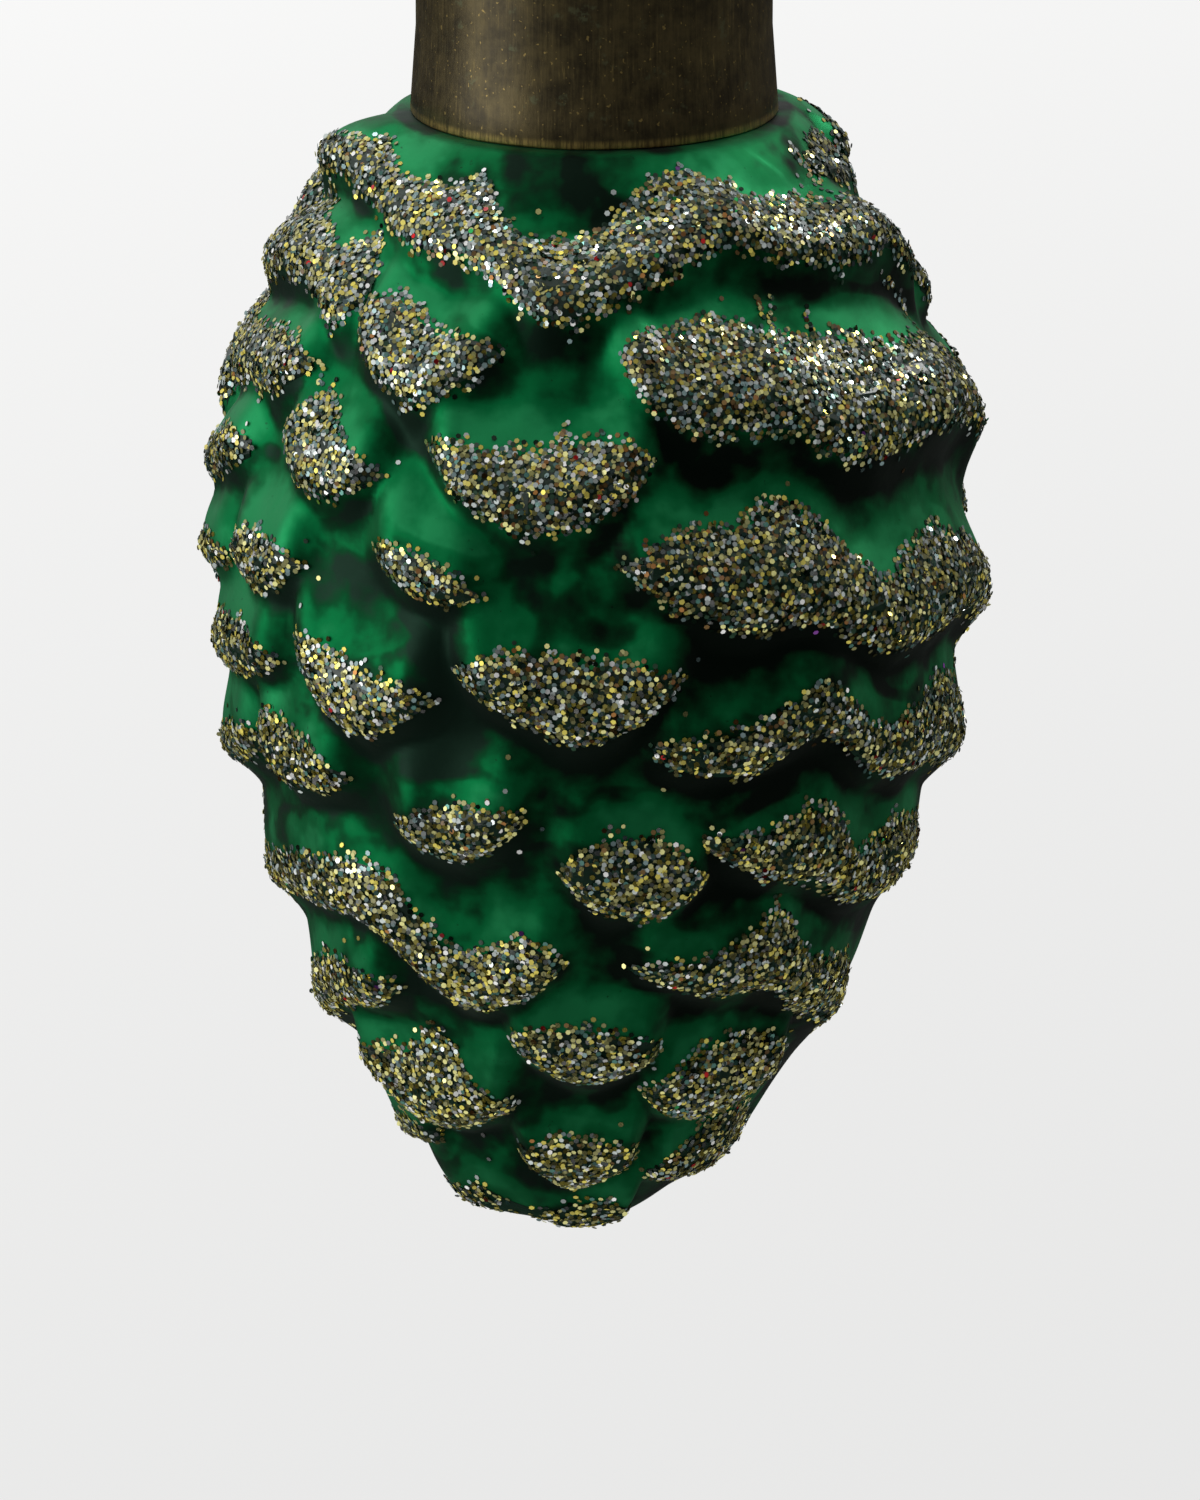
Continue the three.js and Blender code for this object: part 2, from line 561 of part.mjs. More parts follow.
// Cement: a collar between the neck and the cap, standing on the ledge of the glass.
function makeCement() {
  const inner = neckRadius + SEAT_GAP;
  const foot = rimZ;
  const head = neckTop - CEMENT_DROP;
  const outline = [[inner, foot], [cementOuter, foot], [cementOuter, head], [inner, head], [inner, foot]];
  const points = outline.map(([radius, height]) => new THREE.Vector2(radius, height));
  return new THREE.LatheGeometry(points, CAP_SIDES).rotateX(Math.PI / 2);
}

const ornament = new THREE.Group();
const place = (name, geometry, material) => {
  const mesh = new THREE.Mesh(geometry, material);
  mesh.name = name;
  ornament.add(mesh);
};
place('hanging_ring', makeRing(), brassWire);
place('split_pin', makePin(), brassWire);
place('brass_cap', makeCap(), darkBrass);
place('cap_cement', makeCement(), whiteCement);
place('glass_body', makeGlass(), greenGlass);
for (const stroke of strokes) place(`glitter_${stroke.name}`, makeCrust(stroke), goldGlitter);

export default ornament;
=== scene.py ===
"""Looks of a hanging pine cone ornament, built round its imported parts.

The glass is a blown cone with lapping scales, satin green over a silvered inside. Each lip carries
a bed of clear glue with hexagonal glitter flakes. A cap of antiqued brass sits over the neck, and a
split pin and a ring hold it up. Lengths inside the classes are millimetres, meshes are metres.
"""

from __future__ import annotations

import logging
import math
from collections.abc import Callable, Mapping, Sequence
from dataclasses import dataclass, field
from enum import Enum
from typing import Any

import bpy
import numpy as np
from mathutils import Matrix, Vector

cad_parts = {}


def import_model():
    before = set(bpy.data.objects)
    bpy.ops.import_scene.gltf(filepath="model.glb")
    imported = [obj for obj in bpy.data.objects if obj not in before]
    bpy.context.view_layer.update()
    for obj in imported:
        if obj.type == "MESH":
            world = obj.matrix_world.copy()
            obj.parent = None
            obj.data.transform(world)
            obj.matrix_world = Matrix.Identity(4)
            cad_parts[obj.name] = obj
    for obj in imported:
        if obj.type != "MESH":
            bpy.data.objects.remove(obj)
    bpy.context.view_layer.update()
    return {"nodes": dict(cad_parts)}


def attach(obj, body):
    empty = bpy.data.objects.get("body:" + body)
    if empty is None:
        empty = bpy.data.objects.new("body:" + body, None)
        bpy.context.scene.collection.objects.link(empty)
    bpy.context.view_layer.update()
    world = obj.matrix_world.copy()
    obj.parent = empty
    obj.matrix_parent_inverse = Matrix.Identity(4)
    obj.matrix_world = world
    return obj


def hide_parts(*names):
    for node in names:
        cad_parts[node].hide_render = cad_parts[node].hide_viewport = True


LOG = logging.getLogger("cone_ornament")
MM = 0.001
Array = np.ndarray
Station = tuple[float, ...]
Layout = dict[str, tuple[Station, ...]]
Trail = tuple[tuple[float, float], ...]

RING_BODY = "ring"
PIN_BODY = "eye"
ORNAMENT_BODY = "ornament"

# Rows of a honeycomb lie this many cell widths apart.
HONEYCOMB_ROWS = 0.866
# The crusts' random numbers start from these seeds.
FIRST_SEED = 100
SEED_STEP = 17
# Name of the map that the glass and the crusts are given, and that the flakes read their colour from.
MAP_NAME = "OFBake"


# Small numeric helpers

def smooth_fall(x: Array) -> Array:
    """Falls from 1 at x = 0 to 0 at x = 1 along half a cosine, flat outside."""
    return 0.5 + 0.5 * np.cos(np.pi * np.clip(x, 0.0, 1.0))


def blend(a: Any, b: Any, t: Any) -> Any:
    """Goes straight from a to b as t goes from 0 to 1."""
    return a + (b - a) * t


@dataclass(frozen=True)
class RandomWaves:
    """A smooth random field in space: a sum of plane waves with random directions and phases."""

    seed: int
    wavelength: float
    spread: float = 0.35
    count: int = 22

    def __call__(self, points: Array) -> Array:
        """Sum of sin(2 pi (direction . point) / length + phase), scaled to a unit deviation.

        Args:
            points: Places in millimetres, one per row.

        Returns:
            One value per row.
        """
        rng = np.random.default_rng(self.seed)
        directions = rng.normal(size=(self.count, 3))
        directions /= np.linalg.norm(directions, axis=1, keepdims=True)
        lengths = self.wavelength * np.exp(self.spread * rng.normal(size=self.count))
        phases = rng.uniform(0.0, 2 * np.pi, self.count)
        total = np.zeros(len(points))
        for direction, length, phase in zip(directions, lengths, phases):
            total += np.sin(2 * np.pi * (points @ direction) / length + phase)
        return total * math.sqrt(2.0 / self.count)


# Meshes

@dataclass
class Surface:
    """Points, faces and an optional map, gathered from one or more patches."""

    points: list[Array] = field(default_factory=list)
    corners: list[Array] = field(default_factory=list)
    totals: list[Array] = field(default_factory=list)
    places: list[Array] = field(default_factory=list)
    first: int = 0
    count: int = 0

    def add(self, points: Array, faces: Array, places: Array | None = None) -> None:
        """Adds a patch: its points, and faces that all have the same number of corners.

        Args:
            points: Places in millimetres, (n, 3).
            faces: Point numbers within the patch, (m, corners).
            places: Map places of the faces' corners, (m, corners, 2), or none.
        """
        self.first = self.count
        self.count += len(points)
        self.points.append(points)
        self.add_faces(faces, places)

    def add_faces(self, faces: Array, places: Array | None = None) -> None:
        """Adds more faces to the points of the newest patch.

        Args:
            faces: Point numbers within the patch, (m, corners).
            places: Map places of the faces' corners, (m, corners, 2), or none.
        """
        self.corners.append((faces + self.first).ravel())
        self.totals.append(np.full(len(faces), faces.shape[1]))
        if places is not None:
            self.places.append(places.reshape(-1, 2))

    def mesh(self, name: str, smooth: bool) -> bpy.types.Mesh:
        """Puts the patches into one Blender mesh, in metres.

        Args:
            name: Name of the mesh, and later of its piece.
            smooth: Whether the faces are shaded as one smooth surface.

        Returns:
            The finished mesh.
        """
        points = np.concatenate(self.points) * MM
        corners = np.concatenate(self.corners)
        totals = np.concatenate(self.totals)
        starts = np.concatenate([[0], np.cumsum(totals)[:-1]])
        mesh = bpy.data.meshes.new(name)
        mesh.vertices.add(len(points))
        mesh.vertices.foreach_set("co", points.astype(np.float32).ravel())
        mesh.loops.add(len(corners))
        mesh.loops.foreach_set("vertex_index", corners.astype(np.int32))
        mesh.polygons.add(len(totals))
        mesh.polygons.foreach_set("loop_start", starts.astype(np.int32))
        mesh.polygons.foreach_set("loop_total", totals.astype(np.int32))
        mesh.polygons.foreach_set("use_smooth", np.full(len(totals), smooth))
        if self.places:
            layer = mesh.uv_layers.new(name=MAP_NAME)
            layer.data.foreach_set("uv", np.concatenate(self.places).astype(np.float32).ravel())
        mesh.update(calc_edges=True)
        mesh.validate()
        return mesh


def ring_faces(rings: int, count: int, wrap_rings: bool) -> Array:
    """Quads between neighbouring rings of points, closed round each ring.

    Args:
        rings: Number of rings.
        count: Points in each ring.
        wrap_rings: Whether the last ring joins the first.

    Returns:
        Point numbers of the quads, (m, 4).
    """
    ring, place = np.meshgrid(
        np.arange(rings if wrap_rings else rings - 1), np.arange(count), indexing="ij"
    )
    after, beside = (ring + 1) % rings, (place + 1) % count
    quads = [ring * count + place, after * count + place]
    quads += [after * count + beside, ring * count + beside]
    return np.stack(quads, -1).reshape(-1, 4)


def closed_rings(rings: Array, first: Array, last: Array) -> tuple[Array, Array, Array]:
    """Closes a stack of rings with a point at each end.

    Args:
        rings: Points, (rings, count, 3), whose outward side is right of the way to the last.
        first: The point before the first ring.
        last: The point after the last ring.

    Returns:
        Points, quads and triangles.
    """
    number, count = rings.shape[:2]
    points = np.concatenate([rings.reshape(-1, 3), first[None], last[None]])
    here = np.arange(count)
    beside = (here + 1) % count
    start, end = np.full(count, number * count), np.full(count, number * count + 1)
    base = (number - 1) * count
    caps = np.concatenate(
        [np.stack([start, here, beside], -1), np.stack([end, base + beside, base + here], -1)]
    )
    return points, ring_faces(number, count, False), caps


def swept_tube(path: Array, across: Array, radii: Array, sides: int) -> Surface:
    """Carries a circle along a path that lies in one plane, and closes both ends with a point.

    Args:
        path: Points of the centreline, (n, 3).
        across: Unit normal of the path's plane.
        radii: Radius of the wire at each point.
        sides: Points round the wire.

    Returns:
        The tube as a surface.
    """
    tangents = np.gradient(path, axis=0)
    tangents /= np.linalg.norm(tangents, axis=1, keepdims=True)
    inward = np.cross(tangents, across)
    angle = np.linspace(0, 2 * np.pi, sides, endpoint=False)[None, :, None]
    circle = np.cos(angle) * inward[:, None, :] + np.sin(angle) * across[None, None, :]
    rings = path[:, None, :] + radii[:, None, None] * circle
    surface = Surface()
    points, quads, caps = closed_rings(rings, path[0], path[-1])
    surface.add(points, quads[:, ::-1])
    surface.add_faces(caps[:, ::-1])
    return surface


def turned_profile(profile: Array, sides: int, wobble: Callable[[Array, Array], Array]) -> Surface:
    """Turns a closed profile once round the vertical axis.

    Args:
        profile: Radius and height of each point, anticlockwise in the half plane.
        sides: Steps round the axis.
        wobble: Shift of radius and height for each profile point and angle.

    Returns:
        The turned body as a surface.
    """
    angle = np.linspace(0, 2 * np.pi, sides, endpoint=False)
    grid = profile[None, :, :] + wobble(profile, angle)
    radius, turn = grid[..., 0], angle[:, None]
    points = np.stack([radius * np.sin(turn), -radius * np.cos(turn), grid[..., 1]], -1)
    surface = Surface()
    surface.add(points.reshape(-1, 3), ring_faces(sides, len(profile), True))
    return surface


def add_piece(mesh: bpy.types.Mesh, finish: Finish, body: str, nodes: Sequence[str]) -> bpy.types.Object:
    """Makes a piece of a mesh, dresses it and lets it stand for its nodes.

    Args:
        mesh: The finished mesh, in the row frame.
        finish: What it is made of.
        body: The body that it moves with.
        nodes: The nodes that it stands for.

    Returns:
        The new object.
    """
    piece = bpy.data.objects.new(mesh.name, mesh)
    bpy.context.scene.collection.objects.link(piece)
    mesh.materials.append(finish.material())
    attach(piece, body)
    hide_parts(*nodes)
    LOG.info("%s: %d points, %d faces", mesh.name, len(mesh.vertices), len(mesh.polygons))
    return piece


# Shader trees

class Wire:
    """An output of a node that takes part in sums, differences, products and quotients."""

    def __init__(self, tree: ShaderTree, node: bpy.types.Node, output: int | str = 0) -> None:
        """Points to one output of a node."""
        self.tree, self.node, self.output = tree, node, output

    @property
    def socket(self) -> bpy.types.NodeSocket:
        """The output's socket."""
        return self.node.outputs[self.output]

    def other(self, output: int | str) -> Wire:
        """Another output of the same node."""
        return Wire(self.tree, self.node, output)

    def _math(self, operation: str, a: Any, b: Any, clamp: bool = False) -> Wire:
        """Adds one Math node."""
        settings = {"operation": operation, "use_clamp": clamp}
        return self.tree.node("ShaderNodeMath", settings, {0: a, 1: b})

    def __add__(self, other: Any) -> Wire:
        """Sum."""
        return self._math("ADD", self, other)

    __radd__ = __add__

    def __sub__(self, other: Any) -> Wire:
        """Difference."""
        return self._math("SUBTRACT", self, other)

    def __rsub__(self, other: Any) -> Wire:
        """Difference, from a number."""
        return self._math("SUBTRACT", other, self)

    def __mul__(self, other: Any) -> Wire:
        """Product."""
        return self._math("MULTIPLY", self, other)

    __rmul__ = __mul__

    def __truediv__(self, other: Any) -> Wire:
        """Quotient."""
        return self._math("DIVIDE", self, other)

    def floor(self) -> Wire:
        """Whole part."""
        return self._math("FLOOR", self, 0.0)

    def above(self, edge: float) -> Wire:
        """1 where the value is over the edge, else 0."""
        return self._math("GREATER_THAN", self, edge)

    def least(self, other: Any) -> Wire:
        """The smaller of two values."""
        return self._math("MINIMUM", self, other)

    def most(self, other: Any) -> Wire:
        """The larger of two values."""
        return self._math("MAXIMUM", self, other)

    def clamped(self) -> Wire:
        """The value, held between 0 and 1."""
        return self._math("ADD", self, 0.0, clamp=True)

    def step(self, low: float, high: float) -> Wire:
        """Smooth step from 0 at low to 1 at high.

        Args:
            low: The value that gives 0; it may be the higher one.
            high: The value that gives 1.

        Returns:
            The stepped value.
        """
        settings = {"interpolation_type": "SMOOTHSTEP"}
        values = {0: self, 1: low, 2: high, 3: 0.0, 4: 1.0}
        return self.tree.node("ShaderNodeMapRange", settings, values)


class ShaderTree:
    """Builder of one node tree."""

    def __init__(self, owner: bpy.types.Material | bpy.types.World) -> None:
        """Clears the owner's tree and starts an empty one.

        Args:
            owner: The material or world that it shades.
        """
        owner.use_nodes = True
        self.tree = owner.node_tree
        self.tree.nodes.clear()

    def node(
        self,
        kind: str,
        settings: Mapping[str, Any] | None = None,
        values: Mapping[int | str, Any] | None = None,
        output: int | str = 0,
    ) -> Wire:
        """Adds one node.

        Args:
            kind: Its type.
            settings: Its own settings; "stops" are a ramp's places and colours, and
                "between_stops" is how it goes from one to the next.
            values: Numbers, colours or wires for its sockets, by name or number.
            output: The output that is handed back.

        Returns:
            The wire from that output.
        """
        made = self.tree.nodes.new(kind)
        for name, value in (settings or {}).items():
            if name == "stops":
                self._set_stops(made.color_ramp, value)
            elif name == "between_stops":
                made.color_ramp.interpolation = value
            else:
                setattr(made, name, value)
        for name, value in (values or {}).items():
            if isinstance(value, Wire):
                self.tree.links.new(value.socket, made.inputs[name])
            else:
                made.inputs[name].default_value = value
        return Wire(self, made, output)

    @staticmethod
    def _set_stops(ramp: bpy.types.ColorRamp, stops: Sequence[tuple[float, Sequence[float]]]) -> None:
        """Sets a ramp's places and colours.

        Args:
            ramp: The ramp.
            stops: Place and colour of each stop, from left to right.
        """
        while len(ramp.elements) > 1:
            ramp.elements.remove(ramp.elements[-1])
        for index, (place, colour) in enumerate(stops):
            element = ramp.elements[0] if index == 0 else ramp.elements.new(place)
            element.position = place
            element.color = (*colour, 1.0)

    def object_place(self) -> Wire:
        """Object coordinates, which are the row frame's."""
        return self.node("ShaderNodeTexCoord", output="Object")

    def parts(self, vector: Wire) -> tuple[Wire, Wire, Wire]:
        """Splits a vector into its three parts."""
        split = self.node("ShaderNodeSeparateXYZ", {}, {0: vector})
        return split, split.other(1), split.other(2)

    def stretched(self, vector: Wire, scale: tuple[float, float, float]) -> Wire:
        """Multiplies a vector part by part."""
        return self.node("ShaderNodeVectorMath", {"operation": "MULTIPLY"}, {0: vector, 1: scale})

    def noise(self, place: Wire, scale: float, detail: float = 2.0, rough: float = 0.5) -> Wire:
        """Cloudy noise from 0 to 1 at a scale per metre."""
        values = {"Vector": place, "Scale": scale, "Detail": detail, "Roughness": rough}
        return self.node("ShaderNodeTexNoise", {"noise_dimensions": "3D"}, values)

    def mix(self, factor: Any, a: Any, b: Any) -> Wire:
        """Mixes two colours.

        Args:
            factor: 0 gives the first and 1 the second.
            a: The first colour, as three numbers or a wire.
            b: The second colour, as three numbers or a wire.

        Returns:
            The mixed colour.
        """
        settings = {"data_type": "RGBA", "clamp_factor": True}
        a, b = (x if isinstance(x, Wire) else (*x, 1.0) for x in (a, b))
        return self.node("ShaderNodeMix", settings, {0: factor, 6: a, 7: b}, output=2)

    def glow(self, kind: str, colour: Sequence[float], strength: Any) -> Wire:
        """Even light of one colour, from an Emission or a Background node."""
        return self.node(kind, {}, {"Color": (*colour, 1.0), "Strength": strength})

    def either(self, factor: Any, a: Wire, b: Wire) -> Wire:
        """Mixes two shaders: 0 gives the first and 1 the second."""
        return self.node("ShaderNodeMixShader", {}, {0: factor, 1: a, 2: b})

    def bump(self, height: Wire, distance: float, strength: float = 1.0) -> Wire:
        """Turns a height into a normal; distance is in metres."""
        values = {"Height": height, "Distance": distance, "Strength": strength}
        return self.node("ShaderNodeBump", {}, values)


@dataclass(frozen=True)
class Finish:
    """A finish of the record, and the shader that shows it."""

    slot: str
    name: str

    def material(self) -> bpy.types.Material:
        """The finish's material, made once.

        Returns:
            The material.
        """
        found = bpy.data.materials.get(self.name)
        if found is None:
            found = bpy.data.materials.new(self.name)
            self.paint(ShaderTree(found))
        return found

    def paint(self, tree: ShaderTree) -> None:
        """Fills the tree."""
        raise NotImplementedError

    @staticmethod
    def close(tree: ShaderTree, values: Mapping[str, Any]) -> None:
        """Ends a tree in one principled surface."""
        surface = tree.node("ShaderNodeBsdfPrincipled", {}, values)
        tree.node("ShaderNodeOutputMaterial", {}, {"Surface": surface})


@dataclass(frozen=True)
class SatinGlass(Finish):
    """Frosted green over silver, cloudy, with painted light and painted shade on the scales."""

    slot: str = "glass"
    name: str = "satin_green_glass"
    black: tuple[float, float, float] = (0.0008, 0.0060, 0.0024)
    painted_left_haze: tuple[float, float, float] = (0.0120, 0.0360, 0.0220)
    deep: tuple[float, float, float] = (0.0008, 0.060, 0.017)
    green: tuple[float, float, float] = (0.0012, 0.172, 0.048)
    light: tuple[float, float, float] = (0.0180, 0.300, 0.102)

    def paint(self, tree: ShaderTree) -> None:
        """Fills the tree: clouds and a point attribute of painted light and shade choose the greens.

        Args:
            tree: The material's empty tree.
        """
        place = tree.object_place()
        # The point attribute read here is painted light and painted shade, from GlassCone._levels.
        patina = tree.node("ShaderNodeAttribute", {"attribute_name": "patina"}, output="Fac")
        drift = tree.noise(place, 60.0, 2.0, 0.5)
        clouds = tree.noise(place, 170.0, 3.0, 0.55)
        blots = tree.noise(place, 480.0, 3.0, 0.55)
        specks = tree.noise(place, 2100.0, 2.0, 0.6)
        veins = tree.noise(tree.stretched(place, (0.8, 0.8, 1.6)), 105.0, 1.5, 0.45) - 0.5
        creases = 1.0 - (veins * veins).step(0.0, 0.0045)
        tone = patina + (clouds - 0.5) * 1.6 + (blots - 0.5) * 0.65 + (drift - 0.5) * 0.9
        tone = tone - creases * clouds.step(0.62, 0.42) * 0.30
        # Painted light: the darkest green is a painted grey-green haze of reflected light on the left,
        # and black on the right.
        across, _, _ = tree.parts(place)
        dark = tree.mix(across.step(-0.022, 0.008), self.painted_left_haze, self.black)
        base = tree.mix(tone.step(-0.10, 0.22), dark, self.deep)
        base = tree.mix(tone.step(0.14, 0.50), base, self.green)
        base = tree.mix(tone.step(0.46, 0.92), base, self.light)
        dark_specks = specks.step(0.68, 0.76) * blots.step(0.42, 0.62)
        base = tree.mix(dark_specks * 0.7, base, dark)
        rough = 0.52 + (blots - 0.5) * 0.20
        height = clouds * 0.6 + blots * 0.4
        self.close(
            tree,
            {
                "Base Color": base,
                "Metallic": 0.88,
                "Roughness": rough,
                "Specular IOR Level": 0.2,
                "Sheen Weight": 0.03,
                "Sheen Roughness": 0.55,
                "Sheen Tint": (0.78, 0.92, 0.82, 1.0),
                "Normal": tree.bump(height, 0.00016, 0.6),
            },
        )


@dataclass(frozen=True)
class AntiqueBrass(Finish):
    """Olive-brown antiqued brass with upright brush marks and worn bright edges."""

    slot: str = "cap_brass"
    name: str = "antique_brass"
    rim: float = -28.85
    top: float = -16.85
    dark: tuple[float, float, float] = (0.036, 0.027, 0.010)
    brown: tuple[float, float, float] = (0.104, 0.078, 0.028)
    verdigris: tuple[float, float, float] = (0.115, 0.125, 0.060)
    gold: tuple[float, float, float] = (0.440, 0.310, 0.090)
    band_foot: float = 1.65
    band_head: float = 0.55

    def paint(self, tree: ShaderTree) -> None:
        """Fills the tree: brush marks and mottling between browns, gold where metal is worn.

        Args:
            tree: The material's empty tree.
        """
        place = tree.object_place()
        _, _, height = tree.parts(place)
        brush = tree.noise(tree.stretched(place, (1.0, 1.0, 0.035)), 6500.0, 3.0, 0.6)
        strokes = tree.noise(tree.stretched(place, (1.0, 1.0, 0.08)), 1900.0, 3.0, 0.6)
        mottle = tree.noise(place, 330.0, 5.0, 0.68)
        spots = tree.noise(place, 1700.0, 4.0, 0.7)
        tone = mottle * 0.62 + brush * 0.18 + strokes * 0.20
        base = tree.mix(tone.step(0.38, 0.62), self.dark, self.brown)
        stain = tree.noise(place, 620.0, 3.0, 0.6)
        base = tree.mix(stain.step(0.60, 0.68) * spots.step(0.42, 0.60) * 0.6, base, self.verdigris)
        base = tree.mix(brush.step(0.63, 0.76) * mottle.step(0.42, 0.62) * 0.45, base, self.gold)
        nicks = tree.noise(place, 3300.0, 1.0, 0.5)
        base = tree.mix(nicks.step(0.69, 0.76) * 0.6, base, self.gold)
        edge = 1.0 - (height - self.rim * MM).step(0.00035, 0.00075)
        band = (height - (self.top - self.band_foot) * MM).step(0.0, 0.0007)
        band = band * (1.0 - (height - (self.top - self.band_head) * MM).step(0.0, 0.0005))
        tooling = brush.step(0.35, 0.65)
        worn = (edge * (0.25 + tooling * 0.75) + band * strokes * 0.6).clamped()
        base = tree.mix(worn * 0.75, base, self.gold)
        rough = 0.42 + (brush - 0.5) * 0.22 + (spots - 0.5) * 0.25
        self.close(
            tree,
            {
                "Base Color": base,
                "Metallic": 0.72,
                "Roughness": rough,
                "Coat Weight": 0.22,
                "Coat Roughness": 0.34,
                "Normal": tree.bump(brush * 0.5 + spots * 0.5, 0.00005, 0.5),
            },
        )


@dataclass(frozen=True)
class BrassWire(Finish):
    """Drawn wire of the same brass, rubbed bright where it bears."""

    slot: str = "wire_brass"
    name: str = "antique_brass_wire"
    dark: tuple[float, float, float] = (0.040, 0.028, 0.011)
    brown: tuple[float, float, float] = (0.110, 0.076, 0.028)
    gold: tuple[float, float, float] = (0.360, 0.240, 0.085)

    def paint(self, tree: ShaderTree) -> None:
        """Fills the tree: blotched tarnish with rubbed spots.

        Args:
            tree: The material's empty tree.
        """
        place = tree.object_place()
        mottle = tree.noise(place, 600.0, 4.0, 0.6)
        rubbed = tree.noise(place, 230.0, 2.0, 0.5)
        base = tree.mix(mottle.step(0.38, 0.66), self.dark, self.brown)
        base = tree.mix(rubbed.step(0.52, 0.66) * mottle.step(0.3, 0.6) * 0.8, base, self.gold)
        rough = 0.38 + (mottle - 0.5) * 0.3
        self.close(
            tree,
            {
                "Base Color": base,
                "Metallic": 0.9,
                "Roughness": rough,
                "Normal": tree.bump(mottle, 0.00003, 0.5),
            },
        )


@dataclass(frozen=True)
class SetPlaster(Finish):
    """Matt plaster that holds the cap."""

    slot: str = "cement"
    name: str = "set_plaster"
    pore: tuple[float, float, float] = (0.42, 0.39, 0.32)
    chalk: tuple[float, float, float] = (0.62, 0.59, 0.51)

    def paint(self, tree: ShaderTree) -> None:
        """Fills the tree: chalky grain with a few pores.

        Args:
            tree: The material's empty tree.
        """
        place = tree.object_place()
        grain = tree.noise(place, 1400.0, 5.0, 0.7)
        base = tree.mix(grain.step(0.35, 0.7), self.pore, self.chalk)
        bump = tree.bump(grain, 0.0001)
        self.close(tree, {"Base Color": base, "Roughness": 0.9, "Normal": bump})


class Tint(Enum):
    """Colours of the flakes, and of the glue between them, as rows of the flakes' map."""

    GOLD = 0
    STRAW = 1
    SILVER = 2
    SMOKE = 3
    TEAL = 4
    OLIVE = 5
    BRONZE = 6
    COPPER = 7
    KHAKI = 8
    DARK = 9
    WHITE = 10
    RED = 11
    GREEN = 12
    PURPLE = 13
    GLUE = 14


TINT_COLOURS: dict[Tint, tuple[float, float, float]] = {
    Tint.GOLD: (0.70, 0.60, 0.11),
    Tint.STRAW: (0.76, 0.73, 0.29),
    Tint.SILVER: (0.56, 0.62, 0.60),
    Tint.SMOKE: (0.20, 0.29, 0.29),
    Tint.TEAL: (0.075, 0.190, 0.160),
    Tint.OLIVE: (0.180, 0.175, 0.055),
    Tint.BRONZE: (0.20, 0.115, 0.035),
    Tint.COPPER: (0.36, 0.16, 0.040),
    Tint.KHAKI: (0.36, 0.35, 0.14),
    Tint.DARK: (0.018, 0.052, 0.027),
    Tint.WHITE: (0.86, 0.86, 0.84),
    Tint.RED: (0.55, 0.012, 0.015),
    Tint.GREEN: (0.03, 0.40, 0.10),
    Tint.PURPLE: (0.24, 0.06, 0.36),
    Tint.GLUE: (0.0032, 0.0215, 0.0100),
}


@dataclass(frozen=True)
class Glitter(Finish):
    """Metallised film flakes in clear glue.

    A flake reads its colour from its own cell of the map, and every second column is mirror-like.
    """

    slot: str = "glitter"
    name: str = "glitter_flakes"
    rows: int = 16
    shades: int = 16
    darkest: float = 0.38
    shade_range: float = 0.92

    def paint(self, tree: ShaderTree) -> None:
        """Fills the tree: the map's row picks the tint, its column the shade.

        Args:
            tree: The material's empty tree.
        """
        place = tree.node("ShaderNodeUVMap", {"uv_map": MAP_NAME})
        across, up, _ = tree.parts(place)
        row = (up * float(self.rows)).floor()
        column = (across * float(self.shades)).floor()
        stops = [(tint.value / self.rows, TINT_COLOURS[tint]) for tint in Tint]
        ramp = {"between_stops": "CONSTANT", "stops": stops}
        tint = tree.node("ShaderNodeValToRGB", ramp, {0: (row + 0.5) / float(self.rows)})
        level = self.darkest + column / float(self.shades - 1) * self.shade_range
        base = tree.node("ShaderNodeVectorMath", {"operation": "SCALE"}, {0: tint, "Scale": level})
        glue = (up - Tint.GLUE.value / self.rows).above(0.0)
        even = (across * float(self.shades) / 2.0).floor() * 2.0
        mirror = (column - even).above(0.5) * (1.0 - glue)
        self.close(
            tree,
            {
                "Base Color": base,
                "Metallic": 0.10 + mirror * 0.80,
                "Roughness": 0.32 - mirror * 0.18,
                "Coat Weight": 0.25,
                "Coat Roughness": 0.12,
            },
        )


# The glass and its scales

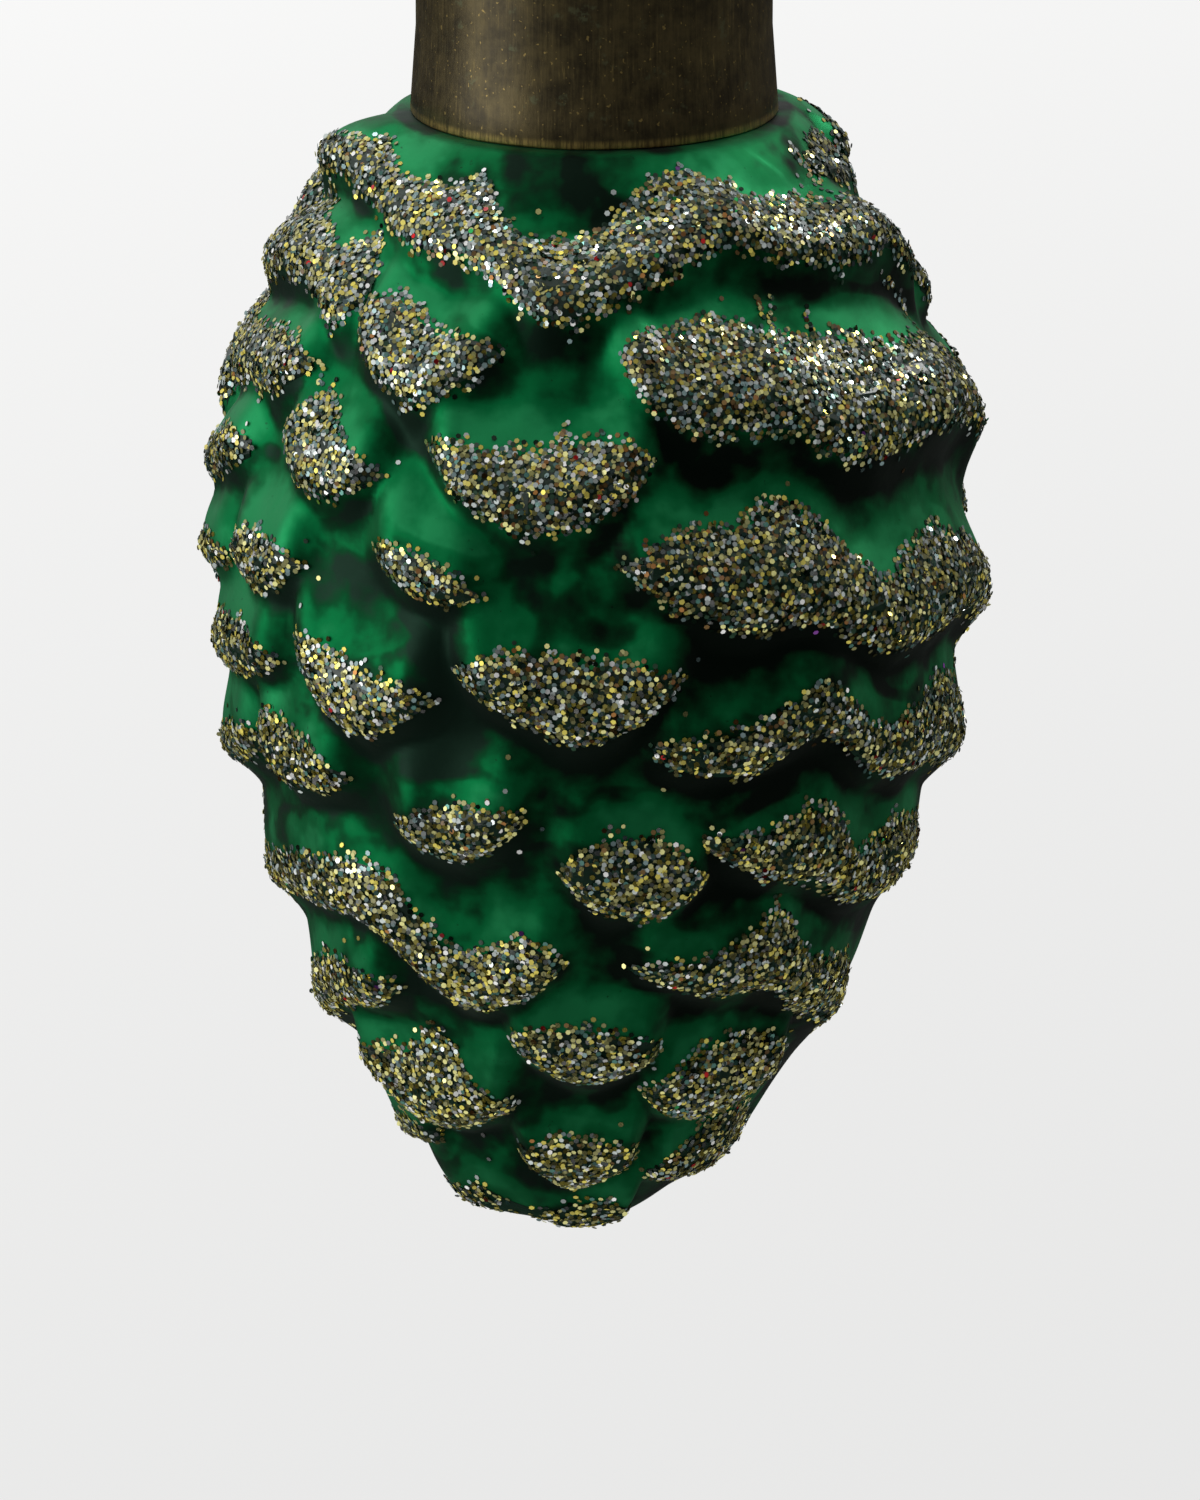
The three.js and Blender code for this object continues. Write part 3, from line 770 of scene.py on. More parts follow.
# Each stroke of glue has its stations from left to right: azimuth in degrees from the middle of its
# half, upper and lower edge in divisions of the skin, and the lift of the lip where it isn't 1.
BOTH_HALVES: Layout = {
    "b_wave": (
        (4, 13, 15.6), (12, 12.7, 19.7), (24, 12, 21), (33, 13.5, 21.5), (42, 14.2, 23.8),
        (53, 15, 24.3), (66, 16.9, 23.9, 1.5), (78, 17.4, 24.9, 1.5), (88, 20.4, 28.9, 1.3),
    ),
    "c_middle": ((-27, 20.7, 22), (-20, 21, 25.2), (-11, 21, 27.2), (1, 20, 26), (9.5, 20.8, 22.8)),
    "d_wave": (
        (4, 28.4, 29.6), (12, 26.8, 32.4), (23, 26.2, 34.4), (30, 25.2, 34.2), (37, 27.2, 35.2),
        (48, 32, 37.7), (60, 29.9, 37.7), (74, 32.2, 37.6, 1.1), (88, 35.6, 41.1, 1.1),
    ),
    "e_middle": ((-21, 36, 37.3), (-11, 35, 40.2), (0, 35.3, 41.8), (13.5, 36.4, 38)),
    "f_wave": (
        (8, 41.4, 43.2), (22, 41, 44.9), (36, 38.7, 42.8), (46, 42.4, 46.2), (56, 42.8, 47.8),
        (70, 41.8, 48.7, 0.75), (88, 46.4, 51.4, 1.1),
    ),
    "g_left": ((-33, 48.6, 49.9), (-22, 46.7, 51.4), (-10, 46.6, 48.6)),
    "g_middle": ((-5.5, 50.6, 53), (3, 48.7, 55.3), (11, 49.2, 55.8), (19, 51.6, 54)),
    "g_wave": (
        (17.5, 48.7, 50.3), (28, 49, 53), (40, 48.3, 54.8), (49, 52.6, 57.2), (60, 51.5, 58.1, 0.95),
        (72, 53.3, 58.5, 0.55), (86, 55.5, 60.4, 0.55),
    ),
    "h_sweep": (
        (-86, 57.2, 61.3, 0.75), (-70, 55.6, 59.2, 0.65), (-46, 52.8, 57.9), (-38, 53, 59.4),
        (-24, 58.8, 64), (-11, 57.3, 62.6), (-4, 58.6, 60.2),
    ),
    "h_wave": (
        (6.5, 59.2, 60.3), (24, 58.5, 63), (35, 56.6, 63.2), (45, 61, 66), (58, 62.5, 68.5, 0.9),
        (74, 66.6, 71.6, 0.3), (84, 68.1, 72.6, 0.35),
    ),
    "i_left": ((-84, 67.6, 72.1, 0.75), (-62, 63.1, 67.9, 0.8), (-48, 62, 66), (-38.5, 62.8, 64.2)),
    "i_middle": ((-16, 65, 67.4), (0, 65, 70.6), (16, 66, 68.6)),
    "i_lower": (
        (-60, 69.3, 71.5, 1.1), (-46, 69.8, 76.4), (-34, 67.4, 76.6), (-25, 71, 75.2),
        (-15, 72, 73.4),
    ),
    "i_right": (
        (14, 71.4, 72.8), (21, 68.9, 74.4), (30, 67.7, 75.1), (40, 68, 74.4), (50, 68.6, 71.2),
    ),
    "j_middle": ((-18, 77.4, 78.8), (-2, 76.2, 82.5), (17, 77, 79.6)),
    "j_right": (
        (21, 80.6, 81.8), (28, 78, 82.2), (36, 75.8, 82.4), (46, 75.4, 82.8, 0.9),
        (58, 77.4, 84.9, 0.4), (76, 81.3, 85.5, 0.3),
    ),
    "k_tip": (
        (-66, 84.2, 86.4, 0.5), (-48, 83.8, 86.4), (-36, 82.4, 86.6), (-26, 83.6, 86.6),
        (-15, 84.6, 87.2), (-4, 84.3, 88.4), (10, 83.7, 88.4), (24, 85, 87.2),
    ),
}
FRONT_HALF: Layout = {
    "a_shoulder": (
        (-88, 3.5, 6.5, 2.05), (-72, 2.6, 5.3, 1.7), (-65, 1.4, 5.6, 1.35), (-52, 3, 6.5),
        (-38, 3, 8.5), (-27, 2, 8.6), (-21, 5, 9.6), (-8, 6, 12.8), (4, 4.4, 11.6), (18, 1.3, 9),
        (29, 2, 8), (42, 4.2, 9.6), (56, 5, 11), (70, 6.6, 11.2, 1.35), (86, 8.7, 15.7, 0.85),
    ),
    "a_lobe": (
        (-87, 8.2, 14.6, 1.5), (-78, 7, 13.9, 1.4), (-69, 7.9, 13.1, 1.3), (-60, 9.2, 13.5),
        (-52, 7.4, 14.9), (-46, 9.6, 14.4),
    ),
    "a_patch": ((66, 2.6, 4.2, 0.8), (75, 1.5, 5.4, 0.65), (85, 1.2, 6.6, 0.6), (95, 2.4, 7.1, 0.6)),
    "b_edge": ((-88, 17.6, 22.4), (-72, 16.6, 21.2), (-62, 16.3, 20.8), (-53, 17, 18.4)),
    "b_left": (
        (-46.5, 11.8, 14.6), (-38.5, 11.2, 17.6), (-29.5, 13.2, 19.2), (-21.5, 13.6, 17),
        (-15.5, 14.2, 15.4),
    ),
    "c_edge": ((-88, 26.3, 30.3, 1.15), (-76, 24.7, 28.1), (-66, 23.6, 26.2)),
    "c_left": ((-56.5, 21.4, 23.6), (-49.5, 19, 26.4), (-42.5, 21.7, 26.4), (-34.5, 23.4, 24.4)),
    "d_edge": ((-88, 32.8, 36.1), (-71, 32.5, 34.5)),
    "d_left": ((-68.5, 31, 32.6), (-59.5, 29.8, 34.6), (-48, 30.8, 32.2)),
    "d_small": ((-35, 27.9, 29.7), (-25, 28.9, 32.2), (-16, 31, 32.1)),
    "e_edge": ((-84, 39.2, 42.6, 0.7), (-66, 37, 41.6, 0.9), (-54, 38.4, 39.8)),
    "e_left": ((-50.5, 35.8, 37.2), (-43.5, 36.3, 41.6), (-35.5, 37.6, 42.7), (-23.5, 38.6, 39.6)),
    "f_edge": ((-86, 47.6, 51, 1.15), (-64, 44.7, 47.5, 0.95)),
    "f_left": ((-63, 42.6, 46.6), (-55.5, 43, 48.6), (-40, 45.8, 47.2)),
    "j_edge": ((-78, 79.5, 82.7, 0.6), (-58, 77.4, 80.2, 0.65), (-43, 77.2, 79.6)),
}
BACK_HALF: Layout = {
    "a_shoulder": (
        (-88, 3.5, 6.5, 1.2), (-72, 2.6, 5.3, 1.3), (-65, 1.4, 5.6, 1.2),
        *FRONT_HALF["a_shoulder"][3:],
    ),
    "b_span": (
        (-86, 13.9, 18.1), (-70, 16.4, 21.1), (-56, 14.5, 18.2), (-38, 11.4, 17.6), (-28, 13.2, 19.2),
        (-14, 14.2, 15.6),
    ),
    "c_span": (
        (-87, 24.7, 28.3, 1.1), (-72, 22.8, 26.4, 1.7), (-58, 21.4, 24.8), (-46, 19.6, 26.4),
        (-33, 23.4, 24.6),
    ),
    "d_span": ((-87, 32.1, 36.1, 0.5), (-71, 30.6, 33.6, 0.8), (-58, 29.8, 34.6), (-45, 30.8, 32.4)),
    "e_span": (
        (-86, 39.4, 42.8), (-68, 37.4, 41.8), (-56, 36.8, 39.6), (-36, 37.2, 42.6), (-22, 38.6, 39.8),
    ),
    "f_span": ((-85, 47.2, 50.8), (-70, 45, 48.4), (-54, 43, 48.6), (-38, 45.6, 47.2)),
}


@dataclass(frozen=True)
class PaintedLightPatch:
    """A patch of painted light on the glass; a negative amount makes it painted shade.

    Azimuth and width are degrees, depth and height are millimetres down the skin.
    """

    azimuth: float
    depth: float
    width: float
    height: float
    amount: float

    def level(self, azimuth: Array, depth: Array) -> Array:
        """What it adds to the green's level: a bell over azimuth and depth."""
        aside, down = (azimuth - self.azimuth) / self.width, (depth - self.depth) / self.height
        return self.amount * np.exp(-(aside**2) - down**2)


# Patches of painted highlight (amount above zero) and painted shade (below zero) on the glass.
PAINTED_LIGHT_PATCHES: tuple[PaintedLightPatch, ...] = (
    PaintedLightPatch(-42.0, 27.5, 10.0, 3.0, 0.30),
    PaintedLightPatch(-17.0, 29.0, 9.0, 3.0, 0.32),
    PaintedLightPatch(60.0, 13.0, 11.0, 2.2, 0.40),
    PaintedLightPatch(52.0, 3.0, 16.0, 3.5, -0.34),
    PaintedLightPatch(30.0, 37.0, 14.0, 4.0, -0.55),
    PaintedLightPatch(26.0, 46.0, 12.0, 3.2, -0.36),
    PaintedLightPatch(-39.0, 32.5, 10.0, 4.5, -0.34),
    PaintedLightPatch(-27.0, 44.5, 9.0, 3.0, -0.20),
    PaintedLightPatch(-32.0, 36.0, 30.0, 15.0, -0.17),
    PaintedLightPatch(40.0, 42.0, 26.0, 16.0, -0.17),
)

# How thickly a stroke is covered, where it is thinner than the others.
COVERAGE: dict[str, float] = {"k_tip": 0.66, "j_right": 0.75, "j_edge": 0.8, "a_patch": 0.8}

# Azimuths where a front stroke is all but bare, with the width of the gap.
THIN_PLACES: dict[str, tuple[float, float]] = {"k_tip": (-21.0, 6.0)}

# Threads of stray flakes that run out of a front stroke, as azimuths and divisions of the skin.
TRAILS: dict[str, tuple[Trail, ...]] = {
    "b_wave": (
        ((70.3, 12.4), (75.9, 14.0), (78.8, 15.3), (80.6, 17.2)),
        ((32.5, 10.9), (34.2, 12.2), (35.2, 13.4)),
        ((36.2, 11.4), (35.4, 13.0)),
        ((44.4, 12.6), (43.1, 14.0)),
    ),
    "a_patch": (((64.0, 1.2), (64.8, 2.9), (65.6, 4.8)), ((64.6, 1.4), (66.2, 3.0), (67.4, 4.2))),
    "a_lobe": (
        ((-80.0, 4.6), (-79.0, 7.2), (-74.0, 9.4), (-66.0, 10.4)),
        ((-77.0, 4.6), (-76.5, 7.0), (-71.0, 9.2)),
        ((-48.8, 12.8), (-50.0, 14.2), (-52.5, 15.4)),
        ((-84.0, 13.8), (-86.0, 16.2), (-87.0, 18.0)),
        ((-81.0, 13.2), (-84.0, 15.6), (-86.0, 17.4)),
    ),
    "d_wave": (((80.0, 38.4), (84.0, 40.2), (83.0, 42.0), (79.0, 43.4)),),
    "c_left": (((-52.5, 18.2), (-50.6, 19.8)),),
    "c_middle": (((-4.4, 19.0), (-5.2, 21.0)),),
    "h_wave": (((34.0, 55.6), (34.7, 57.4)),),
    "h_sweep": (((-84.0, 52.6), (-83.0, 55.0), (-82.0, 57.2)),),
    "i_left": (((-74.0, 71.2), (-69.0, 72.0), (-63.0, 72.4)),),
}


class Half(Enum):
    """The two halves of the mould, with the azimuth of their middle and their spread."""

    FRONT = (0.0, 1.0)
    BACK = (180.0, 0.92)


class Track(Enum):
    """What a stroke's stations say, by its place in a station."""

    UPPER = 1
    LOWER = 2
    LIFT = 3


@dataclass(frozen=True)
class Stroke:
    """One stroke of glue along the lips of a row of scales."""

    name: str
    stations: tuple[Station, ...]
    half: Half
    scale: float
    full_lift: float = 1.8

    @property
    def azimuths(self) -> Array:
        """Azimuth of each station in degrees."""
        turn, spread = self.half.value
        return turn + spread * np.array([station[0] for station in self.stations], float)

    def read(self, azimuth: Array, track: Track) -> Array:
        """Cubic interpolation between stations, with each station's slope taken across it.

        Args:
            azimuth: Where to read, in degrees.
            track: What to read.

        Returns:
            The track's values in millimetres.
        """
        place = track.value
        if track is Track.LIFT:
            lifts = [station[place] if len(station) > place else 1.0 for station in self.stations]
            values = np.array(lifts) * self.full_lift
        else:
            values = np.array([station[place] for station in self.stations], float) * self.scale
        at = self.azimuths
        last = len(at) - 1
        before = np.maximum(np.arange(last + 1) - 1, 0)
        after = np.minimum(np.arange(last + 1) + 1, last)
        slopes = (values[after] - values[before]) / (at[after] - at[before])
        x = np.clip(azimuth, at[0], at[-1])
        i = np.clip(np.searchsorted(at, x, side="left") - 1, 0, last - 1)
        span = at[i + 1] - at[i]
        t = (x - at[i]) / span
        rise = values[i + 1] - values[i]
        bend = (slopes[i] * (1 - t) - slopes[i + 1] * t) * span + rise * (2 * t - 1)
        return values[i] + rise * t + bend * t * (1 - t)

    def around(self, azimuth: Array) -> Array:
        """The azimuth within half a turn of the stroke's middle.

        Args:
            azimuth: Azimuths in degrees, on any turn.

        Returns:
            The same directions, on the turn that the stroke's own azimuths are on.
        """
        at = self.azimuths
        middle = (at[0] + at[-1]) / 2
        return np.mod(azimuth - middle + 180.0, 360.0) - 180.0 + middle


@dataclass
class ScaledSkin:
    """Outer form of the glass: a mean meridian with the relief of the scales on it."""

    rim: float = -28.85
    seat_gap: float = 0.3
    belly_radius: float = 27.3
    belly_drop: float = 32.0
    shoulder_rise: float = 37.3
    taper_length: float = 51.3
    drop_power: float = 1.25
    radius_power: float = 8 / 7
    tip_lean: float = 1.7
    notch_depth: float = 1.4
    shoulder_fade: float = 9.0
    lip_setback: float = 2.0
    scale_slope: float = 8.0
    lip_fall: float = 4.8
    lip_overrun: float = 4.0
    lip_fade: float = 9.0
    overlap_power: float = 4.0
    skin_divisions: float = 97.4
    columns: int = 384
    rows: int = 236
    wave_height: float = 0.07
    wave_length: float = 7.0
    wave_seed: int = 7
    calm_top: float = 6.0
    calm_tip: float = 5.0
    table_steps: int = 4000

    def __post_init__(self) -> None:
        """Works out the meridian table, the strokes and the fine grid of the skin."""
        first = math.asin(self.belly_drop / self.shoulder_rise)
        angle = np.linspace(first, -np.pi / 2, self.table_steps + 1)
        cos, sin = np.abs(np.cos(angle)), np.abs(np.sin(angle))
        shoulder = angle > 0
        self.table_radius = self.belly_radius * np.where(shoulder, cos, cos**self.radius_power)
        rise = np.where(
            shoulder, self.shoulder_rise * sin, -self.taper_length * sin**self.drop_power
        )
        self.table_height = self.rim - self.seat_gap - self.belly_drop + rise
        steps = np.hypot(np.diff(self.table_radius), np.diff(self.table_height))
        self.table_skin = np.concatenate([[0.0], np.cumsum(steps)])
        self.length = float(self.table_skin[-1])
        scale = self.length / self.skin_divisions
        self.strokes = [
            Stroke(f"{name}_{half.name.lower()}", stations, half, scale)
            for half, own in ((Half.FRONT, FRONT_HALF), (Half.BACK, BACK_HALF))
            for name, stations in {**BOTH_HALVES, **own}.items()
        ]
        self.azimuth = np.linspace(0.0, 360.0, self.columns, endpoint=False)
        self.depth = np.linspace(0.0, self.length, self.rows + 1)[:-1]
        azimuth, depth = np.meshgrid(self.azimuth, self.depth)
        self.relief_grid = self.relief(azimuth, depth)
        plain = self.at(azimuth, depth, np.zeros_like(depth)).reshape(-1, 3)
        waves = RandomWaves(self.wave_seed, self.wave_length)(plain).reshape(depth.shape)
        fade = np.clip(depth / self.calm_top, 0, 1)
        fade = fade * np.clip((self.length - depth) / self.calm_tip, 0, 1)
        offset = self.relief_grid - self.notch_depth + self.wave_height * waves * fade
        self.points = self.at(azimuth, depth, offset)
        down = np.gradient(self.points, axis=0)
        wrapped = np.concatenate([self.points[:, -1:], self.points, self.points[:, :1]], 1)
        across = (wrapped[:, 2:] - wrapped[:, :-2]) / 2
        normals = np.cross(down, across)
        self.normals = normals / np.linalg.norm(normals, axis=2, keepdims=True)

    def meridian(self, depth: Array) -> tuple[Array, Array]:
        """Radius and height of the mean meridian at a depth down the skin."""
        radius = np.interp(depth, self.table_skin, self.table_radius)
        return radius, np.interp(depth, self.table_skin, self.table_height)

    def meridian_normal(self, depth: Array) -> tuple[Array, Array]:
        """Radial and upward part of the mean meridian's outward direction.

        Args:
            depth: Depth down the skin.

        Returns:
            The two parts of the unit normal, from the points just above and just below.
        """
        step = 0.4
        above_r, above_h = self.meridian(depth - step)
        below_r, below_h = self.meridian(depth + step)
        radial, upward = above_h - below_h, below_r - above_r
        length = np.hypot(radial, upward)
        return radial / length, upward / length

    def placed(self, radius: Array, azimuth: Array, height: Array) -> Array:
        """Point at a radius, azimuth and height of the leaning glass.

        Args:
            radius: Distance from the leaning axis.
            azimuth: Direction in degrees, 0 to the front and 90 to the right.
            height: Height in the row frame.

        Returns:
            The points; the axis leans by the square of the way down the taper.
        """
        below = np.clip((self.rim - self.belly_drop - height) / self.taper_length, 0, 1)
        turn = np.radians(azimuth)
        x = -self.tip_lean * below**2 + radius * np.sin(turn)
        return np.stack([x, -radius * np.cos(turn), height + 0 * x], -1)

    def at(self, azimuth: Array, depth: Array, offset: Array) -> Array:
        """Point of the skin, raised by an offset along the mean meridian's normal.

        Args:
            azimuth: Direction in degrees.
            depth: Depth down the skin.
            offset: Distance out from the mean meridian.

        Returns:
            The points.
        """
        radius, height = self.meridian(depth)
        radial, upward = self.meridian_normal(depth)
        return self.placed(radius + radial * offset, azimuth, height + upward * offset)

    def lip(self, stroke: Stroke, azimuth: Array, depth: Array) -> Array:
        """Height of one scale's lip.

        It has a crest above the stroke's lower edge, a long slope up the cone, a short fall below
        and a fade past the stroke's two ends.

        Args:
            stroke: The stroke on that lip.
            azimuth: Direction of each point in degrees.
            depth: Depth of each point down the skin.

        Returns:
            The heights over the notches.
        """
        around = stroke.around(azimuth)
        ends = stroke.azimuths
        beyond = np.maximum(np.maximum(ends[0] - around, around - ends[-1]), -self.lip_fade)
        side = smooth_fall((beyond - self.lip_overrun) / self.lip_fade + 1)
        above = stroke.read(around, Track.LOWER) - self.lip_setback - depth
        slope = smooth_fall(above / self.scale_slope)
        along = np.where(above > 0, slope, smooth_fall(-above / self.lip_fall))
        return stroke.read(around, Track.LIFT) * side * along

    def relief(self, azimuth: Array, depth: Array) -> Array:
        """Smooth maximum of the bare shoulder and all the lips, as a sum of fourth powers.

        Args:
            azimuth: Direction of each point in degrees.
            depth: Depth of each point down the skin.

        Returns:
            The heights over the notches.
        """
        power = self.overlap_power
        total = (self.notch_depth * smooth_fall(depth / self.shoulder_fade)) ** power
        for stroke in self.strokes:
            total = total + self.lip(stroke, azimuth, depth) ** power
        return total ** (1 / power)

    def sample(self, grid: Array, azimuth: Array, depth: Array) -> Array:
        """Reads a grid of the skin between its points, straight across each cell.

        Args:
            grid: A value or vector for each row and column of the skin.
            azimuth: Directions in degrees.
            depth: Depths down the skin.

        Returns:
            One value or vector for each direction.
        """
        x = np.mod(azimuth, 360.0) / 360.0 * self.columns
        y = np.clip(depth / self.length * self.rows, 0, self.rows - 1.001)
        left, top = np.floor(x).astype(int) % self.columns, np.floor(y).astype(int)
        right = (left + 1) % self.columns
        fx, fy = (x - np.floor(x))[:, None], (y - top)[:, None]
        upper = blend(grid[top, left], grid[top, right], fx)
        lower = blend(grid[top + 1, left], grid[top + 1, right], fx)
        return blend(upper, lower, fy)


@dataclass(frozen=True)
class PaintedLightAndShade:
    """How light the green is, and what each cause adds to it or takes from it.

    Azimuths, and the extent over them of the painted cap shade and of the painted highlight streak,
    are degrees. The other lengths are millimetres down the skin. Apart from the ground level and the
    level of unseen points, the terms are painted light and painted shade.
    """

    ground: float = 0.44
    relief: float = 0.14
    # Painted shade: the green is darker in the notches.
    facing_up: float = 0.34
    # Painted light: the green is lighter where the skin faces up.
    facing_even: float = 0.04
    facing_limits: tuple[float, float] = (-0.5, 0.45)
    # Painted shade just below each lip, where the skin drops from what lies above.
    under_lip: float = 0.30
    lip_reach: float = 1.2
    lip_drop: float = 0.8
    # Painted shade and a painted dark reflection of the cap, on the front of the shoulder below it.
    painted_cap_shade: float = 0.58
    cap_shade_azimuth: float = -3.0
    cap_shade_width: float = 36.0
    cap_shade_start: float = 2.0
    cap_shade_fade: float = 8.0
    # Painted highlight on the backs of the scales, just above each stroke.
    ledge: float = 0.30
    ledge_rise: float = 0.9
    ledge_width: float = 1.7
    ledge_fade: float = 8.0
    # Painted highlight streak across the right of the shoulder.
    painted_highlight_streak: float = 0.4
    streak_azimuth: float = 44.5
    streak_length: float = 11.0
    streak_fall: float = 3.5
    streak_width: float = 0.35
    unseen: float = 0.3


@dataclass
class GlassCone:
    """The blown glass: scaled skin, ledge under the cap, neck and lining, in one closed surface.

    The points of neck_end are the rounding of the neck's end, as steps in from either face and down
    from the top. Those of neck_foot are steps out from the neck and up from the cap's rim, and those
    of ledge are radii and steps up from that rim.
    """

    skin: ScaledSkin
    finish: SatinGlass = field(default_factory=SatinGlass)
    patina: PaintedLightAndShade = field(default_factory=PaintedLightAndShade)
    wall: float = 1.0
    neck_radius: float = 10.45
    neck_bore: float = 8.95
    neck_top: float = -19.85
    neck_end: tuple[Station, ...] = ((0.0, 0.5), (0.15, 0.12), (0.5, 0.0))
    neck_foot: tuple[Station, ...] = ((0.0, 1.2), (0.2, 0.25), (0.8, -0.02))
    ledge: tuple[Station, ...] = ((13.0, -0.03), (13.6, -0.10))
    lining_rows: int = 8
    lining_top: float = 0.6
    lining_share: float = 0.94

    def build(self) -> bpy.types.Object:
        """Makes the glass of one stack of rings, from the inner tip round to the outer tip.

        Returns:
            The glass.
        """
        skin = self.skin
        azimuth = skin.azimuth
        inset = skin.notch_depth + self.wall
        depths = np.linspace(skin.length * self.lining_share, self.lining_top, self.lining_rows)
        lining = skin.at(azimuth[None, :], depths[:, None], np.full((self.lining_rows, 1), -inset))
        profile = self._neck_profile()
        neck = skin.placed(profile[:, :1], azimuth[None, :], profile[:, 1:])
        rings = np.concatenate([lining, neck, skin.points])
        tip_height = skin.meridian(np.array([skin.length]))[1]
        inner_tip = skin.placed(np.zeros(1), np.zeros(1), tip_height + inset)[0]
        outer_tip = skin.placed(np.zeros(1), np.zeros(1), tip_height + skin.notch_depth)[0]
        points, quads, caps = closed_rings(rings, inner_tip, outer_tip)
        surface = Surface()
        surface.add(points, quads, self._map(quads, rings.shape[0]))
        surface.add_faces(caps, np.full((len(caps), 3, 2), 0.5))
        mesh = surface.mesh("glass_cone", smooth=True)
        # Each point's painted light and painted shade, kept in a point attribute for the material.
        levels = self._levels(rings.shape[0] - skin.rows, len(points))
        layer = mesh.attributes.new("patina", "FLOAT", "POINT")
        layer.data.foreach_set("value", levels.astype(np.float32))
        return add_piece(mesh, self.finish, ORNAMENT_BODY, ["glass_body"])

    def _neck_profile(self) -> Array:
        """Radius and height of the neck's points, from the inside up, over its end and down.

        Returns:
            The points, (n, 2).
        """
        rim, top = self.skin.rim, self.neck_top
        bore, radius = self.neck_bore, self.neck_radius
        profile = [(bore, rim - self.skin.seat_gap - self.wall)]
        profile += [(bore + inward, top - down) for inward, down in self.neck_end]
        profile += [(radius - inward, top - down) for inward, down in self.neck_end[::-1]]
        profile += [(radius + outward, rim + up) for outward, up in self.neck_foot]
        profile += [(outside, rim + up) for outside, up in self.ledge]
        return np.array(profile)

    def _map(self, quads: Array, rings: int) -> Array:
        """Unrolled map: azimuth runs across and the rings run up, with no quad across the seam.

        Args:
            quads: Point numbers of the quads.
            rings: Number of rings.

        Returns:
            Map places of the quads' corners, (m, 4, 2).
        """
        count = self.skin.columns
        ring, place = quads // count, quads % count
        wraps = (place.max(1) - place.min(1) > count / 2)[:, None] & (place == 0)
        across = np.where(wraps, count, place) / count
        return np.stack([across, 1 - ring / (rings - 1)], -1)

    def _levels(self, hidden: int, count: int) -> Array:
        """How light the green is at each point.

        It is painted light and painted shade: lighter on slopes that face up and on the scales'
        backs, darker in the notches, and darkest just below a lip, where the skin has dropped from
        what lies a little above it. The front of the shoulder just below the cap is darkened with
        painted shade and a painted dark reflection of the cap, a painted highlight streak crosses its
        right, and patches of painted light and painted shade from a table come on top.

        Args:
            hidden: Number of rings before the skin's own.
            count: Number of points in all.

        Returns:
            One level per point, from 0 for black to 1 for the lightest green.
        """
        skin, patina = self.skin, self.patina
        relief = skin.relief_grid
        # Painted shade in the notches and just below each lip, where the skin lies lower than a little
        # above it.
        back = max(1, round(patina.lip_reach * skin.rows / skin.length))
        above = np.concatenate([np.repeat(relief[:1], back, 0), relief[:-back]])
        under = np.clip((above - relief) / patina.lip_drop, 0, 1)
        # Painted light on slopes that face up.
        facing = np.clip(skin.normals[..., 2] - patina.facing_even, *patina.facing_limits)
        level = patina.ground + patina.relief * (relief - skin.notch_depth) / skin.notch_depth
        level = level + patina.facing_up * facing - patina.under_lip * under
        azimuth, depth = np.meshgrid((skin.azimuth + 180) % 360 - 180, skin.depth)
        # Painted shade and painted dark reflection of the cap on the front of the shoulder.
        painted_cap_shade = np.exp(-(((azimuth - patina.cap_shade_azimuth) / patina.cap_shade_width) ** 2))
        painted_cap_shade = painted_cap_shade * smooth_fall((depth - patina.cap_shade_start) / patina.cap_shade_fade)
        level = level - patina.painted_cap_shade * painted_cap_shade + patina.ledge * self._painted_scale_highlights(azimuth, depth)
        # Patches of painted highlight and painted shade.
        for patch in PAINTED_LIGHT_PATCHES:
            level = level + patch.level(azimuth, depth)
        # Painted highlight streak across the right of the shoulder.
        along = (azimuth - patina.streak_azimuth) / patina.streak_length
        off_line = (depth - patina.streak_fall * along) / patina.streak_width
        painted_highlight_streak = np.exp(-(off_line**2)) * smooth_fall(np.abs(along - 0.5) * 2)
        level = level + patina.painted_highlight_streak * painted_highlight_streak
        values = np.full(count, patina.unseen)
        values[hidden * skin.columns : (hidden + skin.rows) * skin.columns] = level.ravel()
        return values

    def _painted_scale_highlights(self, azimuth: Array, depth: Array) -> Array:
        """Painted highlight on the backs of the scales: a soft band that ends at each stroke's upper
        edge.

        Args:
            azimuth: Azimuth of each point in degrees.
            depth: Depth of each point down the skin.

        Returns:
            1 in the middle of a band, 0 away from all of them.
        """
        patina = self.patina
        total = np.zeros_like(depth)
        for stroke in self.skin.strokes:
            around, ends = stroke.around(azimuth), stroke.azimuths
            inward = np.minimum(around - ends[0], ends[-1] - around)
            rise = stroke.read(around, Track.UPPER) - depth - patina.ledge_rise
            band = np.exp(-((rise / patina.ledge_width) ** 2))
            total = np.maximum(total, band * smooth_fall(1 - inward / patina.ledge_fade))
        return total


# Glitter

@dataclass(frozen=True)
class Sprinkling:
    """How thickly flakes lie over a stroke.

    Lengths are millimetres, and what is called a width is measured inward from the stroke's edge.
    The upper layer's pitch is in pitches of the lower one, and the jitter in those of its layer.
    """

    pitch: float = 0.34
    upper_pitch: float = 1.45
    jitter: float = 0.24
    lower_inset: float = 0.25
    ragged_depth: float = 0.171
    ragged_length: float = 2.0
    clumping: float = 0.12
    clump_length: float = 3.0
    clump_width: float = 1.4
    edge_cover: float = 0.62
    edge_width: float = 1.1
    full_cover: float = 0.93
    upper_cover: float = 0.62
    upper_width: float = 1.6
    bareness: float = 0.85
    stray_edge: float = -0.45
    stray_cover: float = 0.012
    stray_decay: float = 0.9
    stray_reach: float = 3.6
    cap_gap: float = 0.4
    tip_gap: float = 0.6
    trail_step: float = 0.2
    trail_width: float = 0.2


